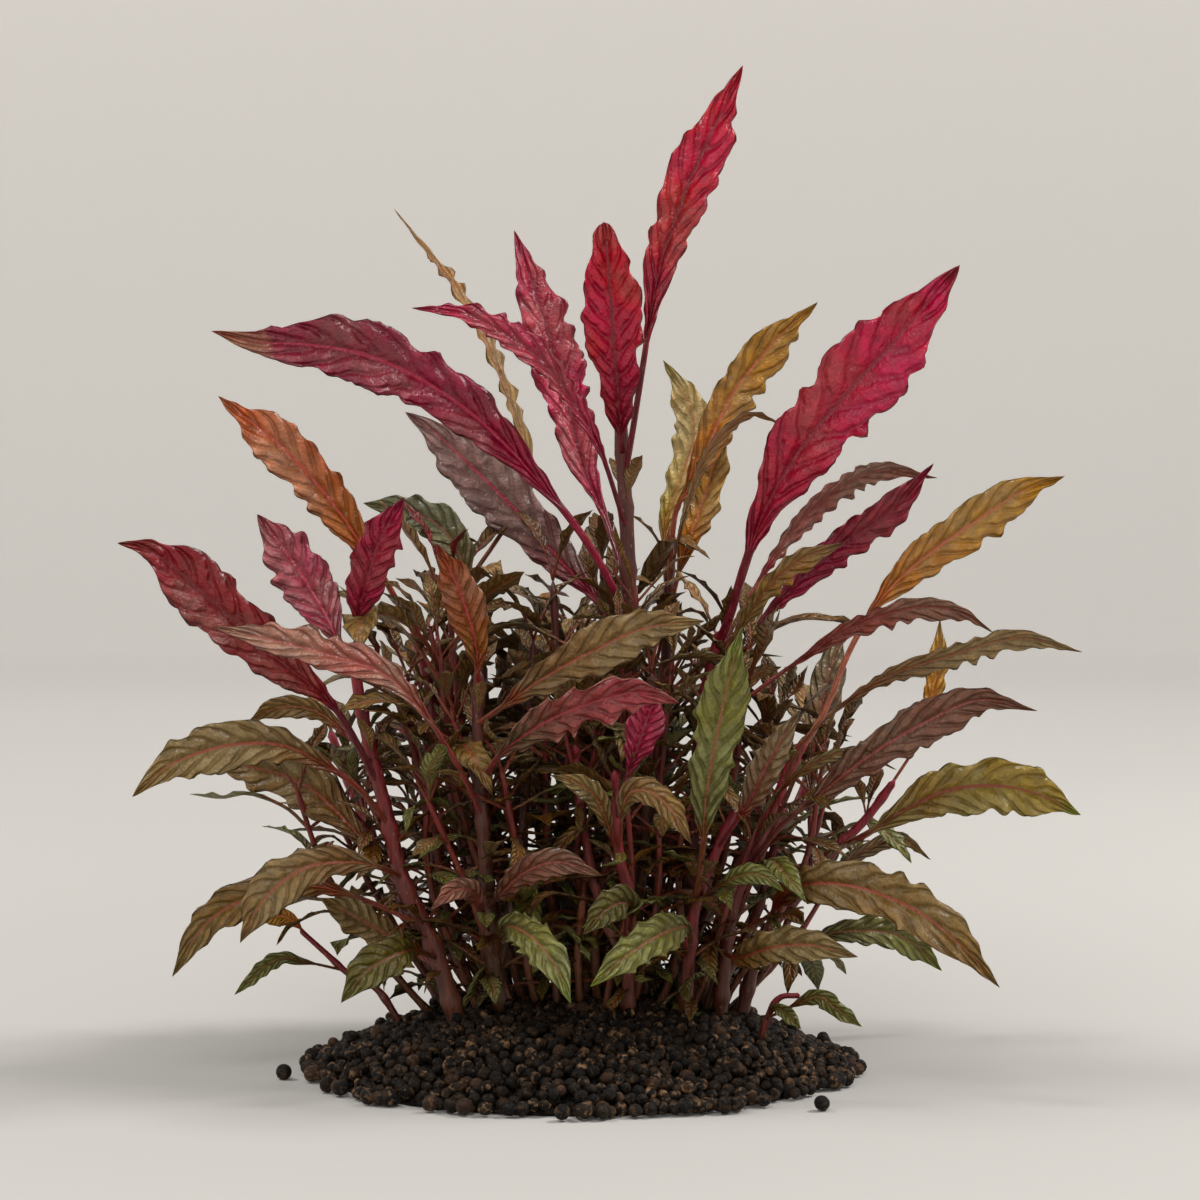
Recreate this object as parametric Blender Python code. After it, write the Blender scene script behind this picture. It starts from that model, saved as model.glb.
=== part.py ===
"""An alternanthera reineckii bush in a heap of aquarium soil, built stem by stem and leaf by leaf.

Lengths here are in millimetres and are scaled to metres where a mesh is made. +Z is up, the
front faces -Y, and the origin is under the middle of the heap, on the surface it stands on.

Places on the plant are read off a front elevation that looks a little down on it. They are
written (across, up, depth): across and up as they show in that elevation, from the origin,
and depth as the distance behind the middle of the heap. The function seen() turns them into
points in space.
"""

import math
from dataclasses import dataclass

import bpy
import numpy as np
from mathutils.bvhtree import BVHTree

MM = 0.001

# The front elevation that places are read from.
VIEW_TILT = math.radians(1)
VIEW_DISTANCE = 620.0
VIEW_CENTRE = (4.0, 94.0)

# The heap of soil, and the pellets that rolled off it.
HEAP_RADIUS = 54.5
HEAP_HEIGHT = 15.8
HEAP_RIM = 1.6
HEAP_ROUND = 32
HEAP_RINGS = 6
PELLET_RADIUS = 1.55
STRAY_PELLETS = {"stray_pellet_left": (-58.1, -11.2), "stray_pellet_right": (45.2, -45.1)}

# Stems and leaves.
PLANTED_HEIGHT = 4.0
SOCKET_RISE = 3.0
CLEARANCE = 0.3
STEM_SIDES = 6
STEM_RINGS = 7
STALK_RADIUS = 0.5
BLADE_THICKNESS = 0.7
BLADE_RINGS = 9
STALK_RINGS = 3
WAVE_HEIGHT = 0.085
FOLD = math.radians(14)
PUSH_STEP = 1.5
MOST_PUSHES = 16
SPRIG_BLADE_RINGS = 6
SPRIG_STALK_RINGS = 2
PAIRED_BLADE_RINGS = 2
PAIRED_STALK_RINGS = 1
SHOOT_THICKNESS = (1.0, 0.75)
SHOOT_SIDES = 5
SHOOT_RINGS = 4
SHOOT_PAIRS = 3
SHOOT_LEAVES = (25, 19)
SHOOT_LINE_POINTS = 61

COLOURS = {
    "crimson": (0.42, 0.018, 0.050),
    "magenta": (0.30, 0.020, 0.065),
    "mauve": (0.24, 0.085, 0.095),
    "bronze": (0.26, 0.080, 0.035),
    "ochre": (0.32, 0.150, 0.035),
    "olive": (0.13, 0.105, 0.045),
    "green": (0.14, 0.170, 0.030),
    "stem_red": (0.20, 0.030, 0.030),
    "stem_brown": (0.12, 0.045, 0.025),
    "soil": (0.018, 0.014, 0.011),
}
ROUGHNESS = {"soil": 0.9, "stem_red": 0.5, "stem_brown": 0.6}
LEAF_ROUGHNESS = 0.42


@dataclass
class Stem:
    """A stem: foot is where it is planted, (across, depth), and line its axis above the soil.

    thick is its radius at the foot and at the tip. pairs says where the small leaves that it
    carries stand: (lowest height, highest height, number of pairs, shortest, longest leaf)."""

    name: str
    foot: tuple
    line: list
    thick: tuple
    colour: str = "stem_red"
    pairs: tuple = (0, 0, 0, 0, 0)
    first_turn: float = 0.0


@dataclass
class Leaf:
    """A leaf: stem and joins say where it grows, joins being a height above the surface.

    line runs from the first bend of its stalk to its tip, which lies back further than the line
    says by back. turn is how far the blade is turned about its midrib from facing the front,
    and twist how much more at the tip, in degrees."""

    name: str
    stem: str
    joins: float
    line: list
    width: float
    colour: str
    turn: float = 0.0
    twist: float = 0.0
    stalk: float = 0.2
    widest: tuple = (1.3, 0.9)
    back: float = 0.0
    sprig: bool = False


@dataclass
class Shoot:
    """A side shoot: it leaves its stem at joins, a height above the surface, and ends at height.

    On the way it leans out by lean, towards heading in degrees from +X."""

    stem: str
    joins: float
    heading: float
    lean: float
    height: float


STEMS = [
    Stem("stem_centre", (10, 2), [(11, 44, 1), (10, 74, 1), (9.6, 102, 1), (8.4, 124, 2), (7.6, 138, 2)],
         (2.3, 1.5), "stem_brown", (40, 112, 4, 15, 24), 20),
    Stem("stem_left", (-22, -12), [(-29, 24, -13), (-35.4, 38, -13), (-38.8, 52, -12), (-41.4, 62, -11),
         (-44, 74, -10), (-45.5, 85, -10)], (2.2, 1.2), "stem_brown", (30, 62, 3, 13, 20), 70),
    Stem("stem_mid_left", (-13, -8), [(-17.4, 23, -12), (-19.4, 49, -15), (-20.4, 65, -16), (-20.2, 80, -16)],
         (2.0, 1.2), "stem_brown", (26, 70, 4, 12, 20), 10),
    Stem("stem_front", (9, -13), [(10, 32, -20), (8, 42, -23), (7.2, 50, -24), (7, 60, -24)],
         (1.7, 1.0), "stem_red", (28, 54, 3, 10, 16), 50),
    Stem("stem_right", (20, 5), [(21.6, 34, 5), (23.4, 58, 4), (25.8, 78, 4), (28.4, 88, 4)],
         (2.0, 1.4), "stem_red", (34, 78, 4, 14, 24), 80),
    Stem("stem_right_lean", (27, -4), [(30, 30, -7), (35, 44, -9), (41, 58, -10), (45, 66, -10)],
         (1.8, 1.1), "stem_red", (30, 58, 3, 14, 22), 30),
    Stem("stem_right_outer", (31, 4), [(36, 25, 4), (43, 34, 4), (50, 43, 4), (57, 50, 3), (63, 58, 2)],
         (1.7, 0.9), "stem_red", (24, 50, 3, 13, 22), 60),
    Stem("stem_low_right", (34, -12), [(39, 13.5, -14), (44, 15, -15)], (0.9, 0.6), "stem_red"),
    Stem("stem_low_left", (-33, 0), [(-40, 15.5, 0), (-46, 19, 0), (-51, 23.5, 0), (-56, 28, 0)],
         (0.9, 0.6), "stem_red"),
    Stem("stem_back_left", (-14, 12), [(-19, 34, 15), (-25, 54, 16), (-30, 76, 15), (-34, 92, 13)],
         (1.8, 1.1), "stem_red", (32, 84, 5, 16, 28), 40),
    Stem("stem_back_right", (14, 16), [(16, 44, 19), (17, 74, 21), (17.6, 94, 21), (18.4, 108, 21)],
         (1.9, 1.1), "stem_brown", (34, 100, 5, 16, 28), 0),
    Stem("stem_front_right", (20, -10), [(22, 24, -14), (23.4, 34, -17), (27, 43, -19), (31, 52, -19)],
         (1.6, 1.0), "stem_red", (24, 50, 3, 12, 18), 15),
    Stem("stem_back_centre", (-2, 26), [(-3, 44, 36), (-4, 66, 43), (-4, 86, 47)],
         (1.8, 1.1), "stem_brown", (30, 80, 5, 26, 40), 25),
    Stem("stem_back_far_left", (-26, 18), [(-36, 34, 30), (-44, 52, 38), (-50, 68, 42)],
         (1.7, 1.0), "stem_red", (24, 60, 4, 24, 36), 65),
    Stem("stem_back_far_right", (27, 21), [(36, 34, 33), (43, 52, 41), (49, 66, 46)],
         (1.7, 1.0), "stem_red", (24, 58, 4, 24, 36), 10),
]

LEAVES = [
    # The crown of the centre stem.
    Leaf("leaf_spire", "stem_centre", 118, [(10.4, 127, -2), (12.6, 141, -3), (15, 156, -3), (17.6, 166, -3),
         (21.6, 177, -3), (27, 189, -3), (32.6, 201, -3)], 13, "crimson", -12, 24, 0.26, (1.5, 0.9), back=12),
    Leaf("leaf_oval", "stem_centre", 122, [(8, 130, -1), (7.4, 138, -4), (6.6, 148, -6), (5.8, 159, -7),
         (4.8, 169.6, -7)], 13.4, "crimson", 4, 0, 0.1, (0.8, 0.5), back=-8),
    Leaf("leaf_crown_left", "stem_centre", 108, [(4, 124, -8), (-2, 134, -10), (-8, 142, -11),
         (-15, 147, -12), (-23, 151, -13), (-33.8, 152.4, -13)], 9, "magenta", 48, -8, 0.18, back=-16),
    Leaf("leaf_crown_behind", "stem_centre", 96, [(4.5, 112, 6), (0.5, 121, 8), (-2, 131, 9), (-5, 141, 10),
         (-7.4, 150, 10), (-10.6, 160, 11), (-13.2, 168, 12)], 12.5, "magenta", 10, 15, 0.15, back=14),
    Leaf("leaf_sweep", "stem_centre", 90, [(3, 103, -4), (-5, 114, -5), (-18, 128, -4), (-30, 137, -3),
         (-42, 142.6, -3), (-54, 145, -3), (-65, 145.6, -3), (-73.8, 147.8, -3)], 15.5, "magenta", 6, 10,
         0.22, back=-12),
    Leaf("leaf_tall_copper", "stem_back_left", 84, [(-14, 110, 14), (-10, 120, 17), (-14, 133, 18),
         (-19, 146, 18), (-25, 156, 18), (-31, 164, 18), (-37.4, 172.4, 18)], 9, "bronze", 62, 10, 0.25,
         back=18),
    Leaf("leaf_grey", "stem_centre", 82, [(4, 93, 4), (-4, 102, 7), (-12, 111, 8), (-20, 119, 9),
         (-28, 126.6, 9), (-35, 131.6, 9)], 14, "mauve", 5, 0, 0.15, back=14),
    Leaf("leaf_great_right", "stem_right", 84, [(30, 91, 2), (33, 101, 0), (37, 112, -1), (44, 124, -2),
         (53, 135, -2), (64, 147, -2), (76, 161, -2)], 18.5, "crimson", 0, 8, 0.2, (1.2, 0.85), back=-10),
    Leaf("leaf_ochre_right", "stem_back_right", 96, [(19, 111, 14), (22, 117, 11), (26, 126, 9), (31, 136, 8),
         (39, 146, 8), (47.6, 153.6, 8)], 11, "ochre", 18, 10, 0.22, back=14),
    Leaf("leaf_pale_back", "stem_back_right", 92, [(17, 108, 26), (20.5, 119, 28), (23, 128, 29),
         (21, 135, 29), (16.6, 142, 30)], 9, "ochre", -10, 0, 0.2, back=8),
    Leaf("leaf_ochre_low", "stem_back_right", 90, [(21, 104, 17), (24, 112, 17), (26.5, 120, 17),
         (29, 128, 17)], 8.5, "ochre", 5, 0, 0.2, back=6),
    # The right-hand side.
    Leaf("leaf_right_upper", "stem_right", 80, [(33, 93, 10), (41, 106, 13), (50, 115, 14), (60, 120, 14),
         (71.6, 118.4, 14)], 8, "mauve", 42, 0, 0.25, back=20),
    Leaf("leaf_rose_right", "stem_right", 74, [(33, 86, 8), (42, 96, 8), (52, 105, 8), (62, 112, 8),
         (70.8, 121.4, 8)], 9, "magenta", 22, 0, 0.25, back=8),
    Leaf("leaf_rust_right", "stem_right", 78, [(31, 87, -2), (37, 96, -6), (44, 102, -8), (53, 105.6, -9)],
         7, "bronze", 38, 0, 0.25, back=-10),
    Leaf("leaf_long_ochre", "stem_right_lean", 62, [(49, 72, -9), (54, 84, -6), (60, 94, -4), (68, 102, -4),
         (78, 109, -4), (88, 115.6, -4), (97, 118.8, -4)], 11, "ochre", 14, 10, 0.36, back=12),
    Leaf("leaf_rose_arch", "stem_right", 66, [(33, 74, -4), (44, 82, -8), (54, 88.4, -9), (66, 92.4, -9),
         (76, 91.6, -9), (82.8, 87.4, -9)], 8, "mauve", 42, 0, 0.35, back=-14),
    Leaf("leaf_long_wavy", "stem_right_lean", 58, [(45, 66, -15), (53, 73.4, -17), (62, 79, -18),
         (74, 83, -19), (88, 86.4, -19), (100.6, 83.6, -19)], 8, "olive", 42, 0, 0.22, back=-14),
    Leaf("leaf_small_ochre", "stem_right_outer", 56, [(68.4, 67, 3), (70.4, 75, 4), (71.6, 83, 4),
         (72, 90.4, 4)], 5, "ochre", 15, 0, 0.15, back=8),
    Leaf("leaf_purple_right", "stem_right_lean", 42, [(40.5, 49, -13), (49, 56, -14), (58, 63, -15),
         (69, 69.6, -14), (80, 74, -13), (91.6, 71.8, -13)], 11, "mauve", 10, 4, 0.2, back=-20),
    Leaf("leaf_olive_right", "stem_right_outer", 44, [(57, 47, -4), (65, 52, -7), (74, 56, -8),
         (84, 56.8, -9), (93, 54.6, -9), (100.2, 51, -9)], 12.5, "olive", 0, 0, 0.15, back=6),
    Leaf("leaf_droop_right", "stem_right_outer", 26, [(40, 34, -8), (46, 37.2, -16), (56, 36.4, -20),
         (67, 32, -21), (76, 25, -21), (84, 16.4, -21)], 11.5, "olive", -6, 0, 0.12, back=-16),
    Leaf("leaf_dark_right", "stem_right_lean", 24, [(32, 22.5, -18), (38, 24.4, -25), (46, 25, -28),
         (55.6, 22.6, -29)], 8.5, "olive", 0, 0, 0.15, back=-10),
    Leaf("leaf_green_back", "stem_back_far_right", 26, [(45, 26, 28), (52, 27.6, 28), (61, 27.6, 28),
         (67, 25, 28), (72.4, 19.8, 28)], 8, "green", -5, 0, 0.2, back=18),
    Leaf("leaf_olive_upright", "stem_right_outer", 38, [(46, 56, 9), (47.5, 68, 10), (50, 80, 10),
         (53, 88, 10)], 8.5, "olive", 6, 0, 0.3, back=16),
    # The middle of the front.
    Leaf("leaf_green_front", "stem_front_right", 34, [(24.4, 43, -24), (25.2, 54, -29), (27.2, 66, -31),
         (29.8, 78, -32), (32.4, 88.6, -33)], 12, "green", 0, 0, 0.25, back=-8),
    Leaf("leaf_arch_front", "stem_mid_left", 70, [(-15, 73, -24), (-8, 78, -27), (2, 83.6, -28),
         (13, 88.4, -28), (25, 89.8, -28)], 10.5, "olive", 6, 0, 0.15, back=-8),
    Leaf("leaf_pink_front", "stem_mid_left", 58, [(-16, 63, -26), (-8, 69, -33), (2, 73.4, -36),
         (12, 75.6, -37), (20, 73.4, -38)], 10, "mauve", 10, 20, 0.2, back=-10),
    Leaf("leaf_magenta_inner", "stem_front", 52, [(9, 57, -29), (12, 66, -30), (15.5, 76, -30)],
         8, "magenta", 0, 0, 0.35, back=4),
    Leaf("leaf_brown_small", "stem_mid_left", 34, [(-16, 35, -26), (-11, 39.6, -32), (-4, 41.6, -34),
         (4.8, 38.8, -35)], 6.5, "mauve", 8, 0, 0.2, back=-6),
    Leaf("leaf_green_down_left", "stem_mid_left", 24, [(-15, 28.6, -24), (-10, 26.8, -36), (-5, 21, -43),
         (-1.8, 13.2, -47)], 8.5, "green", 0, 0, 0.15),
    Leaf("leaf_green_down_right", "stem_front_right", 27, [(21.4, 28.6, -24), (16, 27, -37), (9, 22.6, -43),
         (2, 16.6, -47)], 9, "green", 0, 0, 0.12),
    Leaf("leaf_green_inner", "stem_front", 30, [(10, 33, -27), (6, 32.6, -32), (0.6, 27, -36)],
         7.5, "green", 0, 0, 0.15, back=-6),
    Leaf("leaf_shaggy", "stem_front_right", 46, [(34, 54, -25), (38, 62, -27), (44, 72, -27)],
         9.5, "mauve", -12, 0, 0.2, back=-10),
    # The left-hand side.
    Leaf("leaf_red_left", "stem_left", 58, [(-48, 71, -14), (-54, 77, -15), (-64, 85, -16), (-73, 93, -16),
         (-82, 101, -16), (-87, 104.4, -16), (-92.6, 105.4, -16)], 13.5, "crimson", 0, 12, 0.2, back=-16),
    Leaf("leaf_mauve_left", "stem_left", 78, [(-48.5, 86, -8), (-52, 93, -5), (-57.4, 101.6, -4),
         (-64.6, 111.2, -4)], 12.5, "mauve", 0, 0, 0.15, back=16),
    Leaf("leaf_crimson_left", "stem_left", 82, [(-44.4, 90, -15), (-43, 97, -17), (-40, 106, -18),
         (-35.2, 114.6, -18)], 10, "magenta", 4, 0, 0.2, back=-10),
    Leaf("leaf_copper_left", "stem_back_left", 86, [(-39, 98, 8), (-43.6, 105, 6), (-50, 114, 5),
         (-58, 123, 5), (-65, 129, 5), (-72.4, 134.8, 5)], 11.5, "bronze", 0, 0, 0.16, back=18),
    Leaf("leaf_olive_behind", "stem_back_left", 78, [(-24, 95, 7), (-24.5, 104, 4), (-31, 110.6, 3),
         (-43.4, 113.4, 2)], 9, "olive", 8, 0, 0.3, back=10),
    Leaf("leaf_bronze_left", "stem_mid_left", 76, [(-20.6, 83, -18), (-21.8, 89, -18), (-24.6, 97, -18),
         (-28.8, 105.4, -18)], 10, "bronze", 0, 0, 0.1, back=-8),
    Leaf("leaf_rose_left", "stem_mid_left", 52, [(-24, 60, -22), (-31, 71, -28), (-39, 79, -30),
         (-50, 83, -31), (-62, 86, -31), (-73.6, 88.6, -31)], 9, "mauve", 30, 0, 0.32, back=-14),
    Leaf("leaf_arch_left", "stem_left", 50, [(-44, 56, -15), (-51, 61, -17), (-60, 65, -18), (-71, 64.8, -18),
         (-82, 61, -18), (-89.6, 54.6, -18)], 10.5, "olive", 0, 0, 0.25, back=-22),
    Leaf("leaf_broad_left", "stem_left", 36, [(-41, 43, -9), (-47, 50, -8), (-55, 57, -8), (-65, 60.4, -8),
         (-74.4, 61.6, -8)], 11.5, "olive", -8, 0, 0.2, back=18),
]

SPRIGS = [
    # Small leaves that are fused to their stem.
    Leaf("curled", "stem_back_right", 94, [(20, 108, 8), (24, 121, 3), (29.5, 128.6, 3), (35, 131.4, 3),
         (42, 128, 3)], 5, "bronze", 60, sprig=True),
    Leaf("droop", "stem_left", 30, [(-43, 34, -12), (-55, 37, -14), (-66, 34.6, -15), (-75, 29, -15),
         (-81.6, 18.6, -15)], 8.5, "olive", 0, sprig=True),
    Leaf("tan", "stem_left", 40, [(-40, 40.5, -22), (-46, 41.6, -26), (-55, 40.4, -28), (-63, 34.4, -28),
         (-68, 25.4, -28)], 10, "mauve", 0, sprig=True),
    Leaf("dark_low", "stem_left", 24, [(-33, 24, -24), (-37, 23, -33), (-43, 19.5, -37), (-47.8, 13.4, -39)],
         9, "olive", 0, sprig=True),
    Leaf("low_leaf", "stem_left", 22, [(-34, 24, -8), (-42, 29, -6), (-52, 34.4, -6)], 8.5, "olive", 0,
         sprig=True),
    Leaf("narrow", "stem_right_outer", 34, [(52, 41, 8), (58, 44.4, 10), (64, 46.4, 11), (70.2, 42, 11)],
         4, "mauve", 25, sprig=True),
    Leaf("thin_arch", "stem_right_lean", 50, [(41, 57, -18), (49, 62.5, -23), (56, 63.6, -24),
         (63.4, 60, -25)], 4, "olive", 45, sprig=True),
    Leaf("left_small", "stem_left", 62, [(-50, 70, -5), (-56, 72.6, -4), (-62, 72, -3), (-67, 69, -3)],
         5, "olive", 0, sprig=True),
    Leaf("front_small", "stem_front", 42, [(4, 53, -29), (0, 57, -33), (-6, 59, -34)], 5, "olive", 0,
         sprig=True),
    Leaf("front_pale", "stem_front", 46, [(9, 54, -33), (13, 56, -36), (18, 52.4, -38), (22.4, 45, -39)],
         6, "mauve", 0, sprig=True),
    Leaf("left_pale", "stem_mid_left", 28, [(-21, 35, -22), (-25, 36, -27), (-30, 32, -30)], 5, "mauve", 0,
         sprig=True),
    Leaf("right_pale", "stem_front_right", 36, [(31, 38.5, -25), (36, 39, -29), (41, 35.6, -31)], 4.5,
         "green", 0, sprig=True),
    Leaf("low_green", "stem_low_right", 12.5, [(47, 14.6, -17), (51, 12.4, -18), (56.4, 8.6, -19)], 4.5,
         "green", 0, sprig=True),
    Leaf("low_green_small", "stem_low_right", 12, [(39, 12.4, -18), (41.6, 11, -20), (44.2, 8.2, -21)], 3.4,
         "green", 0, sprig=True),
    Leaf("runner_tip", "stem_low_left", 26, [(-57, 29.4, 0), (-60, 30.8, 0), (-64.4, 30, -1)], 4.5,
         "bronze", 0, sprig=True),
    Leaf("runner_low", "stem_low_left", 20, [(-55, 21.6, -3), (-61, 22, -4), (-69.2, 15, -5)], 3.8,
         "green", 0, sprig=True),
]

SIDE_SHOOTS = [
    Shoot("stem_centre", 22, 178, 16, 98),
    Shoot("stem_centre", 26, 285, 13, 80),
    Shoot("stem_left", 20, 110, 15, 68),
    Shoot("stem_mid_left", 20, 60, 14, 86),
    Shoot("stem_front", 22, 150, 12, 66),
    Shoot("stem_right", 20, 54, 18, 86),
    Shoot("stem_right_lean", 18, 42, 18, 64),
    Shoot("stem_back_left", 22, 126, 22, 86),
    Shoot("stem_back_left", 20, 208, 20, 78),
    Shoot("stem_back_right", 24, 142, 14, 98),
    Shoot("stem_back_right", 22, 56, 20, 88),
    Shoot("stem_back_centre", 24, 55, 24, 84),
    Shoot("stem_back_centre", 22, 140, 24, 80),
]


def unit(vectors):
    """The same vectors at length 1."""
    return vectors / np.linalg.norm(vectors, axis=-1, keepdims=True)


def seen(across, up, depth):
    """The point in space that shows at (across, up) in the front elevation, at that depth."""
    up_way = np.array([0.0, math.sin(VIEW_TILT), math.cos(VIEW_TILT)])
    back_way = np.array([0.0, -math.cos(VIEW_TILT), math.sin(VIEW_TILT)])
    right_way = np.array([1.0, 0.0, 0.0])
    eye = VIEW_CENTRE[0] * right_way + VIEW_CENTRE[1] * up_way + VIEW_DISTANCE * back_way
    ray = across * right_way + up * up_way - eye
    return eye + ray * (depth - eye[1]) / ray[1]


def smooth_line(points, count):
    """count points spread evenly along a smooth curve through the given ones (Catmull-Rom)."""
    points = np.asarray(points, float)
    padded = np.vstack([2 * points[0] - points[1], points, 2 * points[-1] - points[-2]])
    share = np.linspace(0, 1, 12, endpoint=False)[:, None]
    runs = []
    for a, b, c, d in zip(padded, padded[1:], padded[2:], padded[3:]):
        cubic = -a + 3 * b - 3 * c + d
        square = 2 * a - 5 * b + 4 * c - d
        runs.append(0.5 * (2 * b + (c - a) * share + square * share**2 + cubic * share**3))
    fine = np.vstack([*runs, points[-1:]])
    along = np.concatenate([[0], np.cumsum(np.linalg.norm(np.diff(fine, axis=0), axis=1))])
    wanted = np.linspace(0, along[-1], count) if np.isscalar(count) else np.asarray(count) * along[-1]
    return np.column_stack([np.interp(wanted, along, fine[:, i]) for i in range(3)])


def heap_height(radius):
    """Height of the heap's surface at that distance from its middle."""
    share = np.minimum(np.asarray(radius, float) / HEAP_RADIUS, 1)
    return HEAP_RIM + (HEAP_HEIGHT - HEAP_RIM) * (1 - share**2)


def stem_line(stem, count):
    """Points of a stem's axis from its planted foot to its tip."""
    foot = np.array([stem.foot[0], stem.foot[1], PLANTED_HEIGHT])
    return smooth_line([foot, *(seen(*p) for p in stem.line)], count)


def stem_point(stem, height):
    """(point of the axis, radius) where the stem is that high above the surface."""
    line = stem_line(stem, 200)
    index = int(np.argmin(abs(line[:, 2] - height)))
    return line[index], float(np.interp(index / 199, [0, 1], stem.thick))


def closed_rings(rings, tip=None, flat=False):
    """(points, faces) of a closed skin over rings of points, with a flat end or one tip point.

    A quad splits into triangles from its first corner. On a flat blade the quads of the lower
    half start one corner later, so they split as those above them do and never cross them."""
    count, sides = rings.shape[:2]
    faces = [tuple(reversed(range(sides)))]
    for i in range(count - 1):
        for j in range(sides):
            k = (j + 1) % sides
            quad = (i * sides + j, i * sides + k, (i + 1) * sides + k, (i + 1) * sides + j)
            below = flat and j >= sides // 2
            faces.append(quad[1:] + quad[:1] if below else quad)
    points = rings.reshape(-1, 3)
    last = (count - 1) * sides
    if tip is None:
        faces.append(tuple(range(last, last + sides)))
        return points, faces
    faces += [(last + j, last + (j + 1) % sides, len(points)) for j in range(sides)]
    return np.vstack([points, tip]), faces


def tube(line, radii, sides):
    """A round rod along a line: each ring is a circle square to the line."""
    ahead = unit(np.gradient(line, axis=0))
    side = unit(np.cross(ahead, [0.31, 1.0, 0.17]))
    other = np.cross(ahead, side)
    angle = np.arange(sides) * math.tau / sides
    circle = side[:, None] * np.cos(angle)[:, None] + other[:, None] * np.sin(angle)[:, None]
    return closed_rings(line[:, None] + circle * np.asarray(radii)[:, None, None])


def stem_solid(stem, spare=0.0):
    """A stem that thins upwards and swells a little at its joints."""
    share = np.linspace(0, 1, STEM_RINGS)
    radii = np.interp(share, [0, 1], stem.thick) * (1 + 0.1 * (np.arange(STEM_RINGS) % 2))
    return tube(stem_line(stem, STEM_RINGS), radii + spare, STEM_SIDES)


def shoot_line(shoot, stem, count):
    """Points of a side shoot's axis: out of its stem at a slant, and upright towards its tip."""
    joint, _ = stem_point(stem, shoot.joins)
    heading = math.radians(shoot.heading)
    out = shoot.lean * np.array([math.cos(heading), math.sin(heading), 0.0])
    up = np.array([0.0, 0.0, shoot.height - joint[2]])
    return smooth_line([joint, joint + 0.55 * out + 0.3 * up, joint + 0.9 * out + 0.7 * up, joint + out + up],
                       count)


def shoot_solid(line, spare=0.0):
    """A side shoot that thins upwards, with rings at an even part of its line's points."""
    line = line[::(len(line) - 1) // (SHOOT_RINGS - 1)]
    return tube(line, np.linspace(*SHOOT_THICKNESS, SHOOT_RINGS) + spare, SHOOT_SIDES)


def stem_socket(stem):
    """The hole that a planted stem makes in the heap."""
    line = stem_line(stem, 60)
    surface = heap_height(np.linalg.norm(line[:, :2], axis=1))
    above = int(np.argmax(line[:, 2] > surface + SOCKET_RISE))
    foot = line[0] - unit(line[1] - line[0]) * CLEARANCE
    radii = np.interp([0, above / 2, above], [0, 59], stem.thick) * 1.12 + CLEARANCE
    return tube(np.array([foot, line[above // 2], line[above]]), radii, STEM_SIDES)


def leaf_line(leaf, stem, push):
    """Control points of a leaf's midrib, its depth pushed back more and more towards the tip."""
    joint, radius = stem_point(stem, leaf.joins)
    share = np.arange(1, len(leaf.line) + 1) / len(leaf.line)
    bends = [seen(a, u, d + (leaf.back + push) * s) for (a, u, d), s in zip(leaf.line, share)]
    if leaf.sprig:
        return np.array([joint, *bends])
    away = bends[0] - joint
    below, above = stem_point(stem, leaf.joins - 6)[0], stem_point(stem, leaf.joins + 6)[0]
    axis = unit(above - below)
    off = unit(away - (away @ axis) * axis)
    return np.array([joint + off * (radius * 1.15 + 2 * CLEARANCE + STALK_RADIUS), *bends])


def blade_solid(points, width, stalk, widest, facing, twist=0.0, spare=0.0, rings=(3, 10), wave=WAVE_HEIGHT):
    """A leaf in one piece: a bare stalk, then a blade that folds up from its midrib.

    Half its width follows t^a (1 - t)^b along the blade, for widest = (a, b). Its margins go up
    and down from ring to ring. facing is where the upper side looks, at each point."""
    stalk_rings, blade_rings = rings
    share = np.concatenate([np.linspace(0, stalk, stalk_rings, endpoint=False),
                            np.linspace(stalk, 1, blade_rings + 1)])
    line = smooth_line(points, share)
    along = np.clip((share - stalk) / (1 - stalk), 0, 1)
    a, b = widest
    peak = a / (a + b)
    half = 0.5 * width * along**a * (1 - along) ** b / (peak**a * (1 - peak) ** b)
    ahead = unit(np.gradient(line, axis=0))
    normal = facing(line)
    normal = unit(normal - (normal * ahead).sum(1, keepdims=True) * ahead)
    side = np.cross(ahead, normal)
    turn = np.radians(twist * along)[:, None]
    normal, side = np.cos(turn) * normal + np.sin(turn) * side, np.cos(turn) * side - np.sin(turn) * normal
    stalk_radius = STALK_RADIUS * min(1.0, width / 8)
    reach = np.maximum(half, stalk_radius * (1 - 0.5 * along)) + spare
    thick = np.maximum(stalk_radius * (1 - along) ** 0.5, BLADE_THICKNESS / 2 * (1 - 0.5 * along)) + spare
    sway = wave * width * np.where(np.arange(len(share)) % 2, 1, -1) * np.sin(np.pi * along) ** 0.5
    lift = half * math.tan(FOLD)
    left = line - side * reach[:, None] + normal * (lift + sway)[:, None]
    right = line + side * reach[:, None] + normal * (lift - sway)[:, None]
    outline = np.stack([left, line + normal * thick[:, None], right, line - normal * thick[:, None]], axis=1)
    return closed_rings(outline[:-1], line[-1] + ahead[-1] * spare, flat=True)


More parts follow.
